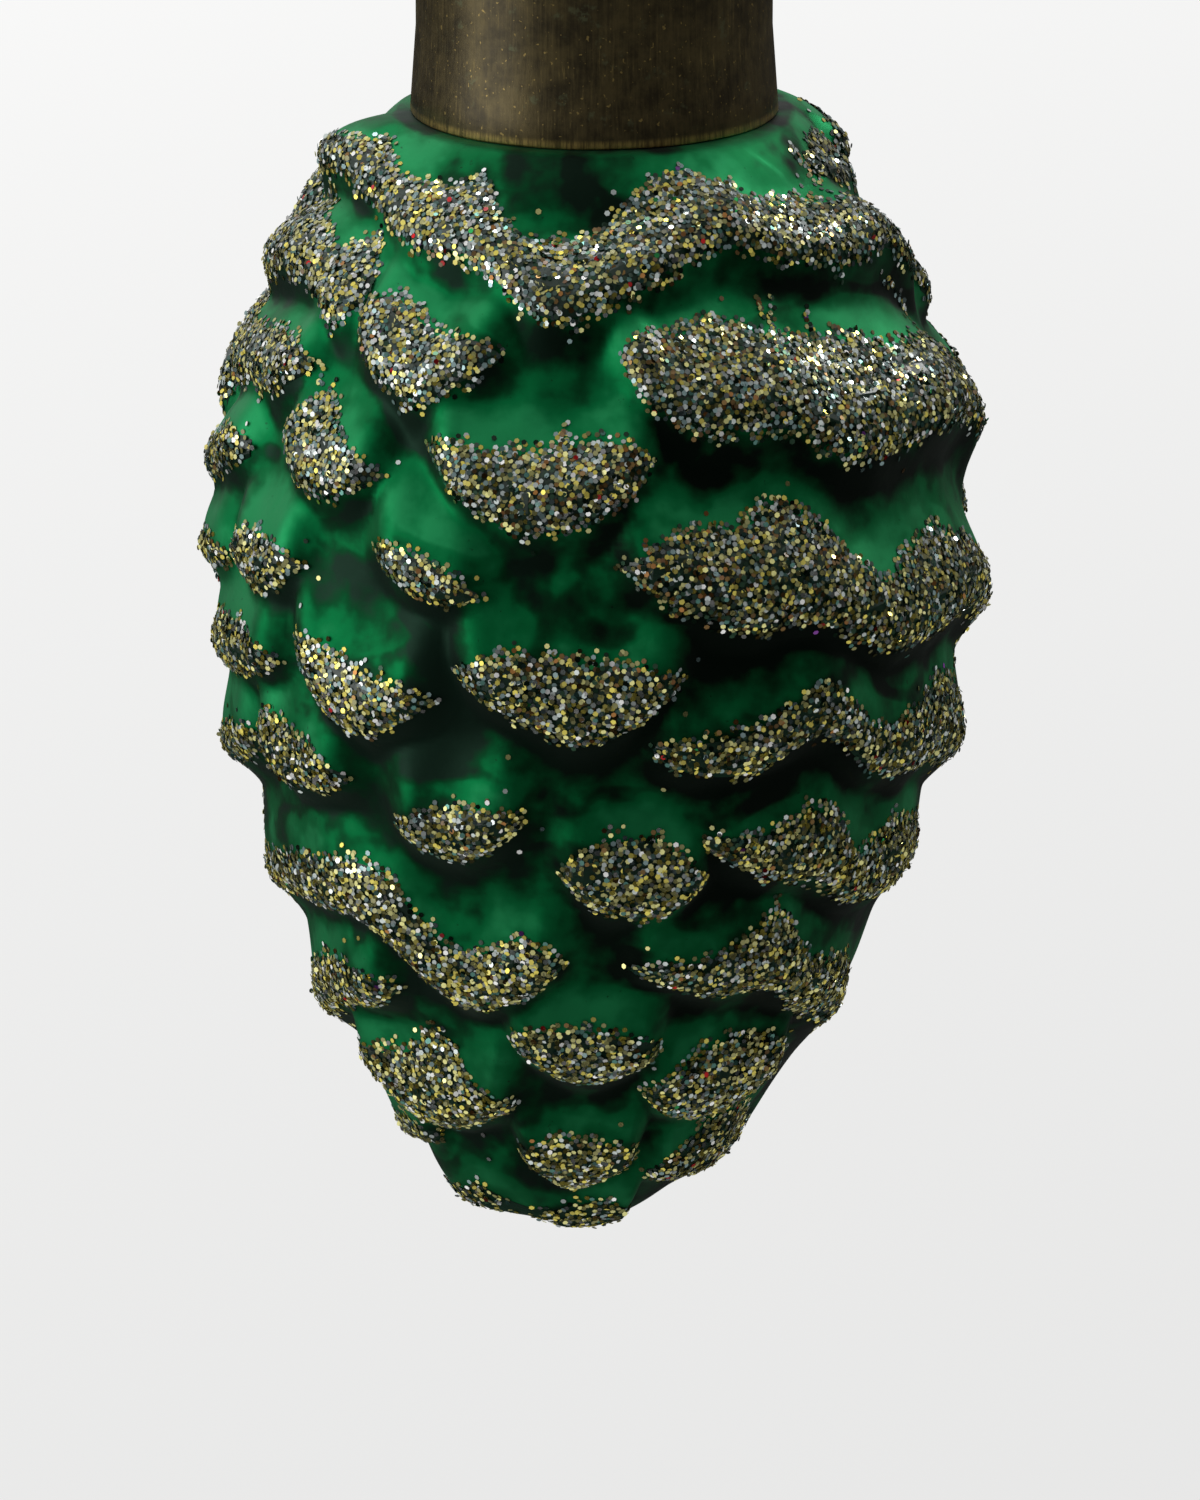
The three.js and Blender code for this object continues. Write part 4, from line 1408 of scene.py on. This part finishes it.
@dataclass
class GlitterCrust:
    """Glitter of one stroke: a low bed of glue and two layers of hexagonal flakes."""

    skin: ScaledSkin
    stroke: Stroke
    seed: int
    finish: Glitter = field(default_factory=Glitter)
    cover: Sprinkling = field(default_factory=Sprinkling)
    flake_width: float = 0.335
    width_spread: float = 0.05
    flake_thickness: float = 0.026
    tilts: tuple[float, float] = (11.0, 19.0)
    steepest: float = 80.0
    lift: float = 0.03
    overlaps: tuple[float, float] = (0.04, 0.12)
    sink: float = 0.8
    bed_height: float = 0.24
    bed_step: float = 1.6
    bed_inset: float = 1.2
    bed_strips: int = 8
    bed_root: float = 0.12
    lump_length: float = 2.4
    end_length: float = 6.5
    cone_length: float = 82.0
    spot_radius: float = 0.3

    @property
    def stem(self) -> str:
        """Name of the stroke without its half."""
        return self.stroke.name.rpartition("_")[0]

    def build(self) -> bpy.types.Object:
        """Makes the crust's piece.

        Returns:
            The crust.
        """
        rng = np.random.default_rng(self.seed)
        surface = Surface()
        self._add_bed(surface)
        self._add_flakes(surface, rng)
        mesh = surface.mesh(f"flakes_{self.stroke.name}", smooth=False)
        return add_piece(mesh, self.finish, ORNAMENT_BODY, [f"glitter_{self.stroke.name}"])

    def _edges(self, azimuth: Array) -> tuple[Array, Array]:
        """Upper and lower edge of the stroke, drawn together at its ends.

        Args:
            azimuth: Where to read them, in degrees.

        Returns:
            Depths of the two edges; at an end they meet in a quarter of an ellipse.
        """
        ends = self.stroke.azimuths
        inward = np.minimum(azimuth - ends[0], ends[-1] - azimuth) / self.end_length
        full = np.sqrt(1 - (1 - np.clip(inward, 0, 1)) ** 2)
        upper = self.stroke.read(azimuth, Track.UPPER)
        lower = self.stroke.read(azimuth, Track.LOWER)
        middle, half = (upper + lower) / 2, (lower - upper) / 2
        return middle - half * full, middle + half * full

    def _add_bed(self, surface: Surface) -> None:
        """Adds the glue: sections across the stroke with a round, lumpy back and a flat foot.

        Args:
            surface: The crust's surface.
        """
        ends = self.stroke.azimuths
        sections = max(8, int((ends[-1] - ends[0]) / self.bed_step))
        azimuth = np.linspace(ends[0] + self.bed_inset, ends[-1] - self.bed_inset, sections)
        upper, lower = self._edges(azimuth)
        v = np.linspace(0.1, 0.9, self.bed_strips + 1)
        depth = blend(upper[:, None], lower[:, None], v[None, :])
        spread = np.broadcast_to(azimuth[:, None], depth.shape)
        feet = self.skin.sample(self.skin.points, spread.ravel(), depth.ravel())
        normals = self.skin.sample(self.skin.normals, spread.ravel(), depth.ravel())
        lumps = RandomWaves(self.seed + 3, self.lump_length)(feet)
        lumps = np.clip(0.75 + 0.35 * lumps, 0.3, 1.3)
        swell = (np.sqrt(4 * v * (1 - v)) - 0.55) / 0.45
        height = self.bed_height * lumps * np.tile(swell, sections)
        outside = (feet + normals * height[:, None]).reshape(*depth.shape, 3)
        inside = (feet - normals * self.bed_root).reshape(*depth.shape, 3)
        loops = np.concatenate([inside, outside[:, ::-1]], axis=1)
        points, quads, caps = closed_rings(loops, loops[0].mean(0), loops[-1].mean(0))
        row = (Tint.GLUE.value + 0.5) / self.finish.rows
        surface.add(points, quads, self._spots(np.full(len(quads), 0.5), row, 4))
        surface.add_faces(caps, self._spots(np.full(len(caps), 0.5), row, 3))

    def _spots(self, across: Array, row: Any, corners: int) -> Array:
        """Small regular faces in the map, each inside its own cell.

        Args:
            across: Place of each cell's middle from left to right.
            row: Place of the cells' middle from bottom to top.
            corners: Corners of each face.

        Returns:
            Map places, (faces, corners, 2).
        """
        angle = np.linspace(0, 2 * np.pi, corners, endpoint=False)
        reach = self.spot_radius / self.finish.shades
        circle = reach * np.stack([np.cos(angle), np.sin(angle)], -1)
        middle = np.stack([across, row + 0 * across], -1)
        return middle[:, None, :] + circle[None]

    def _degree(self, depth: float) -> float:
        """Length of one degree of azimuth at a depth down the skin."""
        return math.radians(1.0) * float(self.skin.meridian(np.array([depth]))[0][0])

    def _scatter(self, rng: np.random.Generator) -> tuple[Array, Array, Array]:
        """Places of the flakes, on the stroke and along its trails.

        Args:
            rng: The crust's own random numbers.

        Returns:
            Azimuth, depth and layer of each flake.
        """
        ends = self.stroke.azimuths
        upper, lower = self._edges(np.linspace(ends[0], ends[-1], 60))
        degree = self._degree((upper.mean() + lower.mean()) / 2)
        reach = self.cover.stray_reach
        depths = (upper.min() - reach, lower.max() + reach)
        azimuths = (ends[0] - reach / degree, ends[-1] + reach / degree)
        x, y, layer = self._honeycomb(rng, azimuths, depths, degree)
        keep = rng.uniform(size=len(x)) < self._chance(x, y, layer, degree)
        keep &= (y > self.cover.cap_gap) & (y < self.skin.length - self.cover.tip_gap)
        x, y, layer = x[keep], y[keep], layer[keep]
        if self.stroke.half is Half.FRONT and self.stem in TRAILS:
            trails = [self._trail(rng, trail) for trail in TRAILS[self.stem]]
            more = np.concatenate(trails, axis=1)
            x, y = np.concatenate([x, more[0]]), np.concatenate([y, more[1]])
            layer = np.concatenate([layer, np.zeros(more.shape[1])])
        return x, y, layer

    def _honeycomb(
        self,
        rng: np.random.Generator,
        azimuths: tuple[float, float],
        depths: tuple[float, float],
        degree: float,
    ) -> Array:
        """Places that flakes may take: a jittered honeycomb for each of the two layers.

        Args:
            rng: The crust's own random numbers.
            azimuths: First and last azimuth.
            depths: First and last depth.
            degree: Length of one degree of azimuth.

        Returns:
            Azimuth, depth and layer of each place, (3, n).
        """
        cover = self.cover
        places = []
        for layer, pitch in enumerate((cover.pitch, cover.pitch * cover.upper_pitch)):
            rows = np.arange(*depths, pitch * HONEYCOMB_ROWS)
            x, y = np.meshgrid(np.arange(*azimuths, pitch / degree), rows)
            x = x + (np.arange(len(rows)) % 2)[:, None] * pitch / degree / 2
            x = x + rng.normal(0, cover.jitter, x.shape) * pitch / degree
            y = y + rng.normal(0, cover.jitter, y.shape) * pitch
            places.append(np.stack([x.ravel(), y.ravel(), np.full(x.size, layer)], -1))
        return np.concatenate(places).T

    def _chance(self, x: Array, y: Array, layer: Array, degree: float) -> Array:
        """How likely each place is to hold a flake.

        The cover thins out towards ragged, clumped edges, the upper layer keeps to the middle, and
        a few strays lie outside.

        Args:
            x: Azimuth of each place in degrees.
            y: Depth of each place.
            layer: Layer of each place, 0 or 1.
            degree: Length of one degree of azimuth.

        Returns:
            One chance per place.
        """
        cover, ends = self.cover, self.stroke.azimuths
        feet = self.skin.at(x, y, np.zeros_like(x))
        ragged = RandomWaves(self.seed + 11, cover.ragged_length)(feet)
        clumps = RandomWaves(self.seed + 12, cover.clump_length)(feet)
        upper, lower = self._edges(np.clip(x, ends[0], ends[-1]))
        past = np.maximum(np.maximum(ends[0] - x, x - ends[-1]), 0) * degree
        inside = np.minimum(y - upper, lower - cover.lower_inset - y) - past
        inside = inside + cover.ragged_depth * ragged
        chance = np.clip(cover.edge_cover + inside / cover.edge_width, 0, cover.full_cover)
        chance = chance + cover.clumping * clumps * (inside < cover.clump_width)
        strays = cover.stray_cover * np.exp(cover.stray_decay * inside)
        chance = np.where(inside < cover.stray_edge, strays, chance)
        upper_share = np.clip(inside / cover.upper_width, 0, cover.upper_cover)
        chance = np.where(layer == 1, chance * upper_share, chance)
        chance = chance * COVERAGE.get(self.stem, 1.0)
        if self.stem in THIN_PLACES:
            bare, width = THIN_PLACES[self.stem]
            chance = chance * (1 - cover.bareness * np.exp(-(((x - bare) / width) ** 2)))
        return chance

    def _trail(self, rng: np.random.Generator, trail: Trail) -> Array:
        """Flakes dropped along a thread of glue.

        Args:
            rng: The crust's own random numbers.
            trail: Azimuth and depth of the thread's points, depth in divisions of the skin.

        Returns:
            Azimuth and depth of the flakes, (2, n).
        """
        step, width = self.cover.trail_step, self.cover.trail_width
        knots = np.array(trail) * np.array([1.0, self.stroke.scale])
        degree = self._degree(knots[0, 1])
        steps = np.hypot(np.diff(knots[:, 0]) * degree, np.diff(knots[:, 1]))
        way = np.concatenate([[0.0], np.cumsum(steps)])
        at = np.arange(0.0, way[-1], step)
        at = at + rng.normal(0, step / 4, len(at))
        x = np.interp(at, way, knots[:, 0]) + rng.normal(0, width, len(at)) / degree
        y = np.interp(at, way, knots[:, 1]) + rng.normal(0, width, len(at))
        return np.stack([x, y])

    def _tints(self, rng: np.random.Generator, feet: Array) -> Array:
        """Tint of each flake, by weights that change a little over the cone.

        Three numbers from 0 to 1 steer them: below grows down the cone, turned grows to the right,
        and warm is highest in one place near the middle. The darker, more olive mix to the right is
        painted shade, and the lighter gold, straw and khaki mix down the cone is painted light.

        Args:
            rng: The crust's own random numbers.
            feet: Places of the flakes.

        Returns:
            Row of each flake's tint in the map.
        """
        below = np.clip((self.skin.rim - feet[:, 2]) / self.cone_length, 0, 1)
        warm = np.exp(-((feet[:, 0] - 4.0) ** 2) / 160.0) * np.exp(-(((below - 0.28) / 0.22) ** 2))
        turned = np.clip((feet[:, 0] + 14.0) / 30.0, 0, 1) * (1 - 0.6 * np.clip(below - 0.6, 0, 1))
        weights = {
            Tint.GOLD: 0.20 - 0.08 * turned + 0.14 * below,
            Tint.STRAW: 0.17 - 0.05 * turned + 0.23 * below,
            Tint.SILVER: 0.18 + 0.02 * below,
            Tint.SMOKE: 0.17 - 0.09 * below,
            Tint.TEAL: 0.08 + 0.02 * below,
            Tint.OLIVE: 0.04 + 0.08 * turned,
            Tint.BRONZE: 0.012 + 0.12 * warm + 0.03 * turned,
            Tint.COPPER: 0.006 + 0.045 * warm,
            Tint.KHAKI: 0.09 + 0.06 * turned + 0.08 * below,
            Tint.DARK: 0.15 + 0.20 * turned * (1 - 0.7 * below) - 0.15 * below + 0.14 * warm,
            Tint.WHITE: 0.03 + 0.05 * (1 - turned) + 0.03 * below,
            Tint.RED: 0.003 + 0 * below,
            Tint.GREEN: 0.002 + 0 * below,
            Tint.PURPLE: 0.001 + 0 * below,
        }
        totals = np.cumsum(np.stack(list(weights.values()), -1), axis=1)
        pick = rng.uniform(size=len(feet)) * totals[:, -1]
        rows = np.array([tint.value for tint in weights])
        return rows[np.minimum((pick[:, None] > totals).sum(1), len(rows) - 1)]

    def _tilted(self, rng: np.random.Generator, normals: Array, layer: Array) -> tuple[Array, ...]:
        """Leans the flakes off the skin's normal, each to its own side.

        Args:
            rng: The crust's own random numbers.
            normals: The skin's normal under each flake.
            layer: Layer of each flake, 0 or 1.

        Returns:
            Angle of the tilt, and a right-handed set of the flake's front, side and axis.
        """
        count = len(normals)
        tilt = np.radians(np.abs(rng.normal(0, 1, count)) * np.array(self.tilts)[layer.astype(int)])
        tilt = np.minimum(tilt, math.radians(self.steepest))[:, None]
        helper = np.cross(normals, np.array([0.0, 0.0, 1.0]) + 1e-6)
        helper /= np.linalg.norm(helper, axis=1, keepdims=True)
        turn = rng.uniform(0, 2 * np.pi, (count, 1))
        lean = np.cos(turn) * helper + np.sin(turn) * np.cross(normals, helper)
        axis = np.cos(tilt) * normals + np.sin(tilt) * lean
        side = np.cross(axis, lean)
        side /= np.linalg.norm(side, axis=1, keepdims=True)
        return tilt, np.cross(side, axis), side, axis

    def _bed_under(self, azimuth: Array, depth: Array) -> Array:
        """Height of the glue under each flake: half an ellipse across the stroke, cut low.

        Args:
            azimuth: Azimuth of each flake in degrees.
            depth: Depth of each flake.

        Returns:
            The heights.
        """
        upper, lower = self._edges(np.clip(azimuth, *self.stroke.azimuths[[0, -1]]))
        v = np.clip((depth - upper) / np.maximum(lower - upper, 0.1), 0, 1)
        return self.bed_height * np.clip((np.sqrt(4 * v * (1 - v)) - 0.45) / 0.55, 0, 1)

    def _add_flakes(self, surface: Surface, rng: np.random.Generator) -> None:
        """Adds the flakes: each a hexagonal plate that lies on the glue, a little tilted.

        Args:
            surface: The crust's surface.
            rng: The crust's own random numbers.
        """
        azimuth, depth, layer = self._scatter(rng)
        count = len(azimuth)
        feet = self.skin.sample(self.skin.points, azimuth, depth)
        normals = self.skin.sample(self.skin.normals, azimuth, depth)
        normals /= np.linalg.norm(normals, axis=1, keepdims=True)
        tilt, front, side, axis = self._tilted(rng, normals, layer)
        radius = self.flake_width / math.sqrt(3) * rng.normal(1, self.width_spread, (count, 1))
        rest = self.lift + (radius * np.sin(tilt))[:, 0] * self.sink
        height = self._bed_under(azimuth, depth) * self.sink + rest
        height = height + layer * rng.uniform(*self.overlaps, count)
        centres = (feet + normals * height[:, None])[:, None]
        angle = rng.uniform(0, np.pi / 3, (count, 1, 1)) + (np.arange(6) * np.pi / 3)[None, :, None]
        rim = radius[:, None] * (np.cos(angle) * front[:, None] + np.sin(angle) * side[:, None])
        half = 0.5 * self.flake_thickness * axis[:, None, :]
        points = np.concatenate([centres + rim + half, centres + rim - half], axis=1)
        row = (self._tints(rng, feet) + 0.5) / self.finish.rows
        across = (rng.integers(0, self.finish.shades, count) + 0.5) / self.finish.shades
        base = (np.arange(count) * 12)[:, None]
        here = np.arange(6)
        beside = np.roll(here, -1)
        sides = np.stack([here, here + 6, beside + 6, beside], -1).reshape(1, 24)
        surface.add(points.reshape(-1, 3), base + here, self._spots(across, row, 6))
        surface.add_faces(base + 6 + here[::-1], self._spots(across, row, 6))
        spots = self._spots(np.repeat(across, 6), np.repeat(row, 6), 4)
        surface.add_faces((base + sides).reshape(-1, 4), spots)


# Cap, pin and ring

@dataclass
class BrassCap:
    """The cup over the neck: straight wall with a slight flare, round corner, flat top.

    Stations of the wall are steps up from the rim, and those of the top are radii.
    """

    finish: AntiqueBrass = field(default_factory=AntiqueBrass)
    radius: float = 12.35
    height: float = 12.0
    wall: float = 0.5
    corner: float = 1.5
    flare: float = 0.45
    flare_height: float = 5.9
    flare_shares: tuple[float, ...] = (0.3, 0.65, 1.0)
    wall_stations: tuple[float, ...] = (7.5, 9.0, 10.2)
    top_stations: tuple[float, ...] = (9.0, 6.5, 4.0, 2.4)
    hole: float = 1.6
    hole_edge: tuple[float, float] = (0.25, 0.12)
    lip_round: float = 0.28
    rim: float = -28.85
    wobble_height: float = 5.0
    sides: int = 240

    def build(self) -> bpy.types.Object:
        """Makes the cap of its turned profile.

        Returns:
            The cap.
        """
        profile = np.concatenate([self._side(0.0, 1.0), self._side(self.wall, -1.0)[::-1]])
        surface = turned_profile(profile, self.sides, self._wobble)
        mesh = surface.mesh("brass_cap_skin", smooth=True)
        return add_piece(mesh, self.finish, ORNAMENT_BODY, ["brass_cap"])

    def _side(self, inset: float, outward: float) -> Array:
        """Profile of one face of the sheet, from the rim up, round the corner and in to the hole.

        Args:
            inset: Distance of the face from the outer one.
            outward: 1 for the outer face and -1 for the inner.

        Returns:
            Radius and height of the points, (n, 2).
        """
        radius, corner = self.radius - inset, self.corner - inset
        top = self.rim + self.height
        half = self.wall * self.lip_round
        foot = radius + self.flare
        lip = [
            (foot - outward * half, self.rim),
            (foot - outward * half * 0.3, self.rim + half * 0.3),
            (foot, self.rim + half),
        ]
        wall = [
            (radius + self.flare * (1 - share), self.rim + half + self.flare_height * share)
            for share in self.flare_shares
        ]
        wall += [(radius, self.rim + up) for up in self.wall_stations]
        angle = np.linspace(0, np.pi / 2, 10)
        bend = corner * np.stack([np.cos(angle), np.sin(angle)], -1)
        arc = bend + np.array([radius - corner, top - self.corner])
        aside, down = self.hole_edge
        flat = [(station, top - inset) for station in (*self.top_stations, self.hole + aside)]
        drop = [(self.hole, top - inset - outward * down)]
        return np.concatenate([lip, wall, arc, flat, drop])

    def _wobble(self, profile: Array, angle: Array) -> Array:
        """Hand-cut rim: a few slow waves in radius and height that die out up the wall.

        Args:
            profile: Radius and height of each point of the profile.
            angle: Angles round the axis.

        Returns:
            Shift of radius and height, (angles, points, 2).
        """
        low = np.clip(1 - (profile[:, 1] - self.rim) / self.wobble_height, 0, 1)[None, :]
        a = angle[:, None]
        radius = 0.03 * np.sin(2 * a + 0.6) + 0.012 * np.sin(7 * a + 2.0)
        height = 0.02 * np.sin(3 * a + 1.0) + 0.012 * np.sin(11 * a)
        return np.stack([radius * low, (height + 0.02) * low], -1)


@dataclass
class SplitPin:
    """Wire eye whose legs go down through the cap and spread under its top.

    Stations of a leg are shares of the way from its tip to the bend.
    """

    finish: BrassWire = field(default_factory=BrassWire)
    wire: float = 1.1
    eye_radius: float = 2.75
    eye_centre: float = -12.5
    leg_offset: float = 0.75
    hole: float = 1.6
    underside: float = -17.35
    leg_reach: float = 4.45
    leg_slope: float = 12.0
    leg_stations: tuple[float, ...] = (0.0, 0.04, 0.08, 0.12, 0.25, 0.38, 0.51, 0.64, 0.77, 0.9)
    tip_taper: tuple[float, ...] = (0.55, 0.85, 0.97)
    smoothings: int = 2
    sides: int = 20

    def build(self) -> bpy.types.Object:
        """Makes the pin as one swept wire.

        Returns:
            The pin.
        """
        path = self._path()
        radii = np.full(len(path), self.wire / 2)
        taper = np.array(self.tip_taper)
        radii[: len(taper)] *= taper
        radii[-len(taper) :] *= taper[::-1]
        surface = swept_tube(path, np.array([0.0, 1.0, 0.0]), radii, self.sides)
        mesh = surface.mesh("pin_wire", smooth=True)
        return add_piece(mesh, self.finish, PIN_BODY, ["split_pin"])

    def _path(self) -> Array:
        """Centreline: leg tip, bend at the hole, straight up, round the eye and down again.

        Returns:
            Its points, (n, 3), with their corners smoothed between neighbours.
        """
        bend = self.hole - self.leg_offset
        slope = math.radians(self.leg_slope)
        angle = np.linspace(math.radians(90) - slope, 0, 12)
        arc = bend * np.stack([-np.cos(angle), -np.sin(angle)], -1)
        arc = arc + np.array([self.hole, self.underside])
        drop = (self.leg_reach - arc[0, 0]) * math.tan(slope)
        tip = np.array([self.leg_reach, arc[0, 1] - drop])
        leg = blend(tip, arc[0], np.array(self.leg_stations)[:, None])
        neck = math.asin(self.leg_offset / self.eye_radius)
        turn = np.linspace(neck, 2 * np.pi - neck, 64)
        eye = self.eye_radius * np.stack([np.sin(turn), -np.cos(turn)], -1)
        eye = eye + np.array([0.0, self.eye_centre])
        right = np.concatenate([leg, arc])
        flat = np.concatenate([right, eye, right[::-1] * np.array([-1.0, 1.0])])
        for _ in range(self.smoothings):
            flat[1:-1] = 0.25 * flat[:-2] + 0.5 * flat[1:-1] + 0.25 * flat[2:]
        return np.stack([flat[:, 0], np.zeros(len(flat)), flat[:, 1]], -1)


@dataclass
class HangingRing:
    """Loop of wire, bent round until its two cut ends meet. Its seam and gap are in degrees."""

    finish: BrassWire = field(default_factory=BrassWire)
    wire: float = 1.2
    radius: float = 5.9
    centre: float = -5.3
    seam: float = 205.0
    gap: float = 0.7
    end_taper: float = 0.93
    steps: int = 150
    sides: int = 20

    def build(self) -> bpy.types.Object:
        """Makes the ring as one swept wire with a hair's gap at the seam.

        Returns:
            The ring.
        """
        turn = self.seam + self.gap / 2 + np.linspace(0, 360 - self.gap, self.steps)
        turn = np.radians(turn)
        across, up = self.radius * np.sin(turn), self.centre + self.radius * np.cos(turn)
        path = np.stack([np.zeros(self.steps), across, up], -1)
        radii = np.full(self.steps, self.wire / 2)
        radii[[0, -1]] *= self.end_taper
        surface = swept_tube(path, np.array([1.0, 0.0, 0.0]), radii, self.sides)
        mesh = surface.mesh("ring_wire", smooth=True)
        return add_piece(mesh, self.finish, RING_BODY, ["hanging_ring"])


# Studio

@dataclass(frozen=True)
class SoftBox:
    """A square lamp that faces the ornament."""

    name: str
    place: tuple[float, float, float]
    size: float
    power: float

    def build(self, target: Vector) -> None:
        """Hangs the lamp and turns it to the target.

        Args:
            target: What it faces.
        """
        lamp = bpy.data.lights.new(self.name, "AREA")
        lamp.shape = "SQUARE"
        lamp.size = self.size
        lamp.energy = self.power
        holder = bpy.data.objects.new(self.name, lamp)
        holder.location = self.place
        holder.rotation_euler = (target - Vector(self.place)).to_track_quat("-Z", "Y").to_euler()
        bpy.context.scene.collection.objects.link(holder)


@dataclass
class Studio:
    """Pale floor, even world, soft lamps and the camera. Its lengths are metres."""

    target: tuple[float, float, float] = (0.0004, 0.0, -0.07555)
    distance: float = 0.6
    elevation: float = 17.4
    lens: float = 202.66
    sensor: float = 36.0
    lamp_target: tuple[float, float, float] = (0.0, 0.0, -0.07)
    lamps: tuple[SoftBox, ...] = (
        SoftBox("overhead_box", (-0.05, 0.16, 0.46), 0.18, 0.65),
        SoftBox("left_box", (-0.58, -0.22, -0.02), 0.46, 1.35),
        SoftBox("right_box", (0.42, 0.20, 0.30), 0.14, 0.62),
    )
    floor_height: float = -0.32
    floor_reach: float = 6.0
    floor_glow: float = 0.9
    floor_dim: float = 0.02
    pale: tuple[float, float, float] = (0.89, 0.89, 0.885)
    seen_floor: tuple[float, float, float] = (1.0, 1.0, 0.995)

    def build(self) -> None:
        """Sets up everything that isn't the ornament."""
        self._camera()
        self._floor()
        self._world()
        for lamp in self.lamps:
            lamp.build(Vector(self.lamp_target))
        bpy.context.scene.view_settings.view_transform = "Standard"

    def _camera(self) -> None:
        """Places the camera at the photograph's angle."""
        data = bpy.data.cameras.new("view")
        data.lens = self.lens
        data.sensor_width = self.sensor
        data.clip_start, data.clip_end = 0.01, 50.0
        camera = bpy.data.objects.new("view", data)
        tilt = math.radians(self.elevation)
        back = Vector((0.0, -math.cos(tilt), math.sin(tilt)))
        camera.location = Vector(self.target) + back * self.distance
        camera.rotation_mode = "QUATERNION"
        camera.rotation_quaternion = (-back).to_track_quat("-Z", "Y")
        bpy.context.scene.collection.objects.link(camera)
        bpy.context.scene.camera = camera

    def _floor(self) -> None:
        """Lays a wide pale floor that keeps the ornament's shadow."""
        corners = np.array([(-1, -1), (1, -1), (1, 1), (-1, 1)], float) * self.floor_reach
        points = np.concatenate([corners, np.full((4, 1), self.floor_height)], 1)
        mesh = bpy.data.meshes.new("floor")
        mesh.from_pydata(points.tolist(), [], [(0, 1, 2, 3)])
        floor = bpy.data.objects.new("floor", mesh)
        bpy.context.scene.collection.objects.link(floor)
        mesh.materials.append(self._floor_paint())

    def _floor_paint(self) -> bpy.types.Material:
        """Paint that glows a little brighter to the back and the left for the camera.

        A mirror sees it dim, and it gives other rays its own colour.

        Returns:
            The material.
        """
        material = bpy.data.materials.new("floor_paint")
        tree = ShaderTree(material)
        x, y, _ = tree.parts(tree.object_place())
        level = (0.851 + (y - 0.44) * 0.153 - x * 0.13).least(1.05).most(0.80)
        glow = tree.glow("ShaderNodeEmission", self.seen_floor, level)
        matt = tree.node("ShaderNodeBsdfDiffuse", {}, {"Color": (*self.pale, 1.0)})
        dim = tree.glow("ShaderNodeEmission", self.pale, self.floor_dim)
        bounce = tree.glow("ShaderNodeEmission", self.pale, 1.0)
        seen = tree.node("ShaderNodeLightPath", output="Is Camera Ray")
        painted = tree.either(self.floor_glow, matt, glow)
        unseen = tree.either(seen.other("Is Glossy Ray"), bounce, dim)
        surface = tree.either(seen, unseen, painted)
        tree.node("ShaderNodeOutputMaterial", {}, {"Surface": surface})
        return material

    def _world(self) -> None:
        """A pale world for the camera, one with a bright top and side for mirrors, and a dim one."""
        world = bpy.data.worlds.new("studio_air")
        bpy.context.scene.world = world
        tree = ShaderTree(world)
        x, y, z = tree.parts(tree.node("ShaderNodeTexCoord", output="Generated"))
        top = (z * 0.90 + y * 0.35 + x * 0.05).step(0.00, 0.85)
        side = (-0.90 * x + y * 0.10).step(-0.20, 0.95) * z.step(-0.90, 0.25)
        haze = (0.0 - x).step(-0.30, 0.90)
        mirrored = 0.010 + top * 0.62 + side * 0.56 + haze * 0.05
        given = 0.23 + (z * -0.45 - x * 0.70).step(-1.00, 1.00) * 0.50
        shown = tree.glow("ShaderNodeBackground", self.pale, 1.0)
        gleam = tree.glow("ShaderNodeBackground", self.pale, mirrored)
        air = tree.glow("ShaderNodeBackground", self.pale, given)
        seen = tree.node("ShaderNodeLightPath", output="Is Camera Ray")
        sharp = (seen.other("Is Glossy Ray") + seen.other("Is Transmission Ray")).clamped()
        surface = tree.either(seen, tree.either(sharp, air, gleam), shown)
        tree.node("ShaderNodeOutputWorld", {}, {"Surface": surface})


def dress_cement(frame: Mapping[str, Any]) -> None:
    """Gives the carried-over plaster collar its finish.

    Args:
        frame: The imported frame, with its nodes' objects by name.
    """
    node = frame["nodes"]["cap_cement"]
    node.data.materials.clear()
    node.data.materials.append(SetPlaster().material())
    LOG.info("%s: %d faces, as packed", node.name, len(node.data.polygons))


def main() -> None:
    """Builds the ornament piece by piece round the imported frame."""
    logging.basicConfig(level=logging.INFO, format="%(name)s: %(message)s")
    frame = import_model()
    Studio().build()
    skin = ScaledSkin()
    GlassCone(skin).build()
    for number, stroke in enumerate(skin.strokes):
        GlitterCrust(skin, stroke, FIRST_SEED + SEED_STEP * number).build()
    BrassCap().build()
    SplitPin().build()
    HangingRing().build()
    dress_cement(frame)


if __name__ == "__main__":
    main()
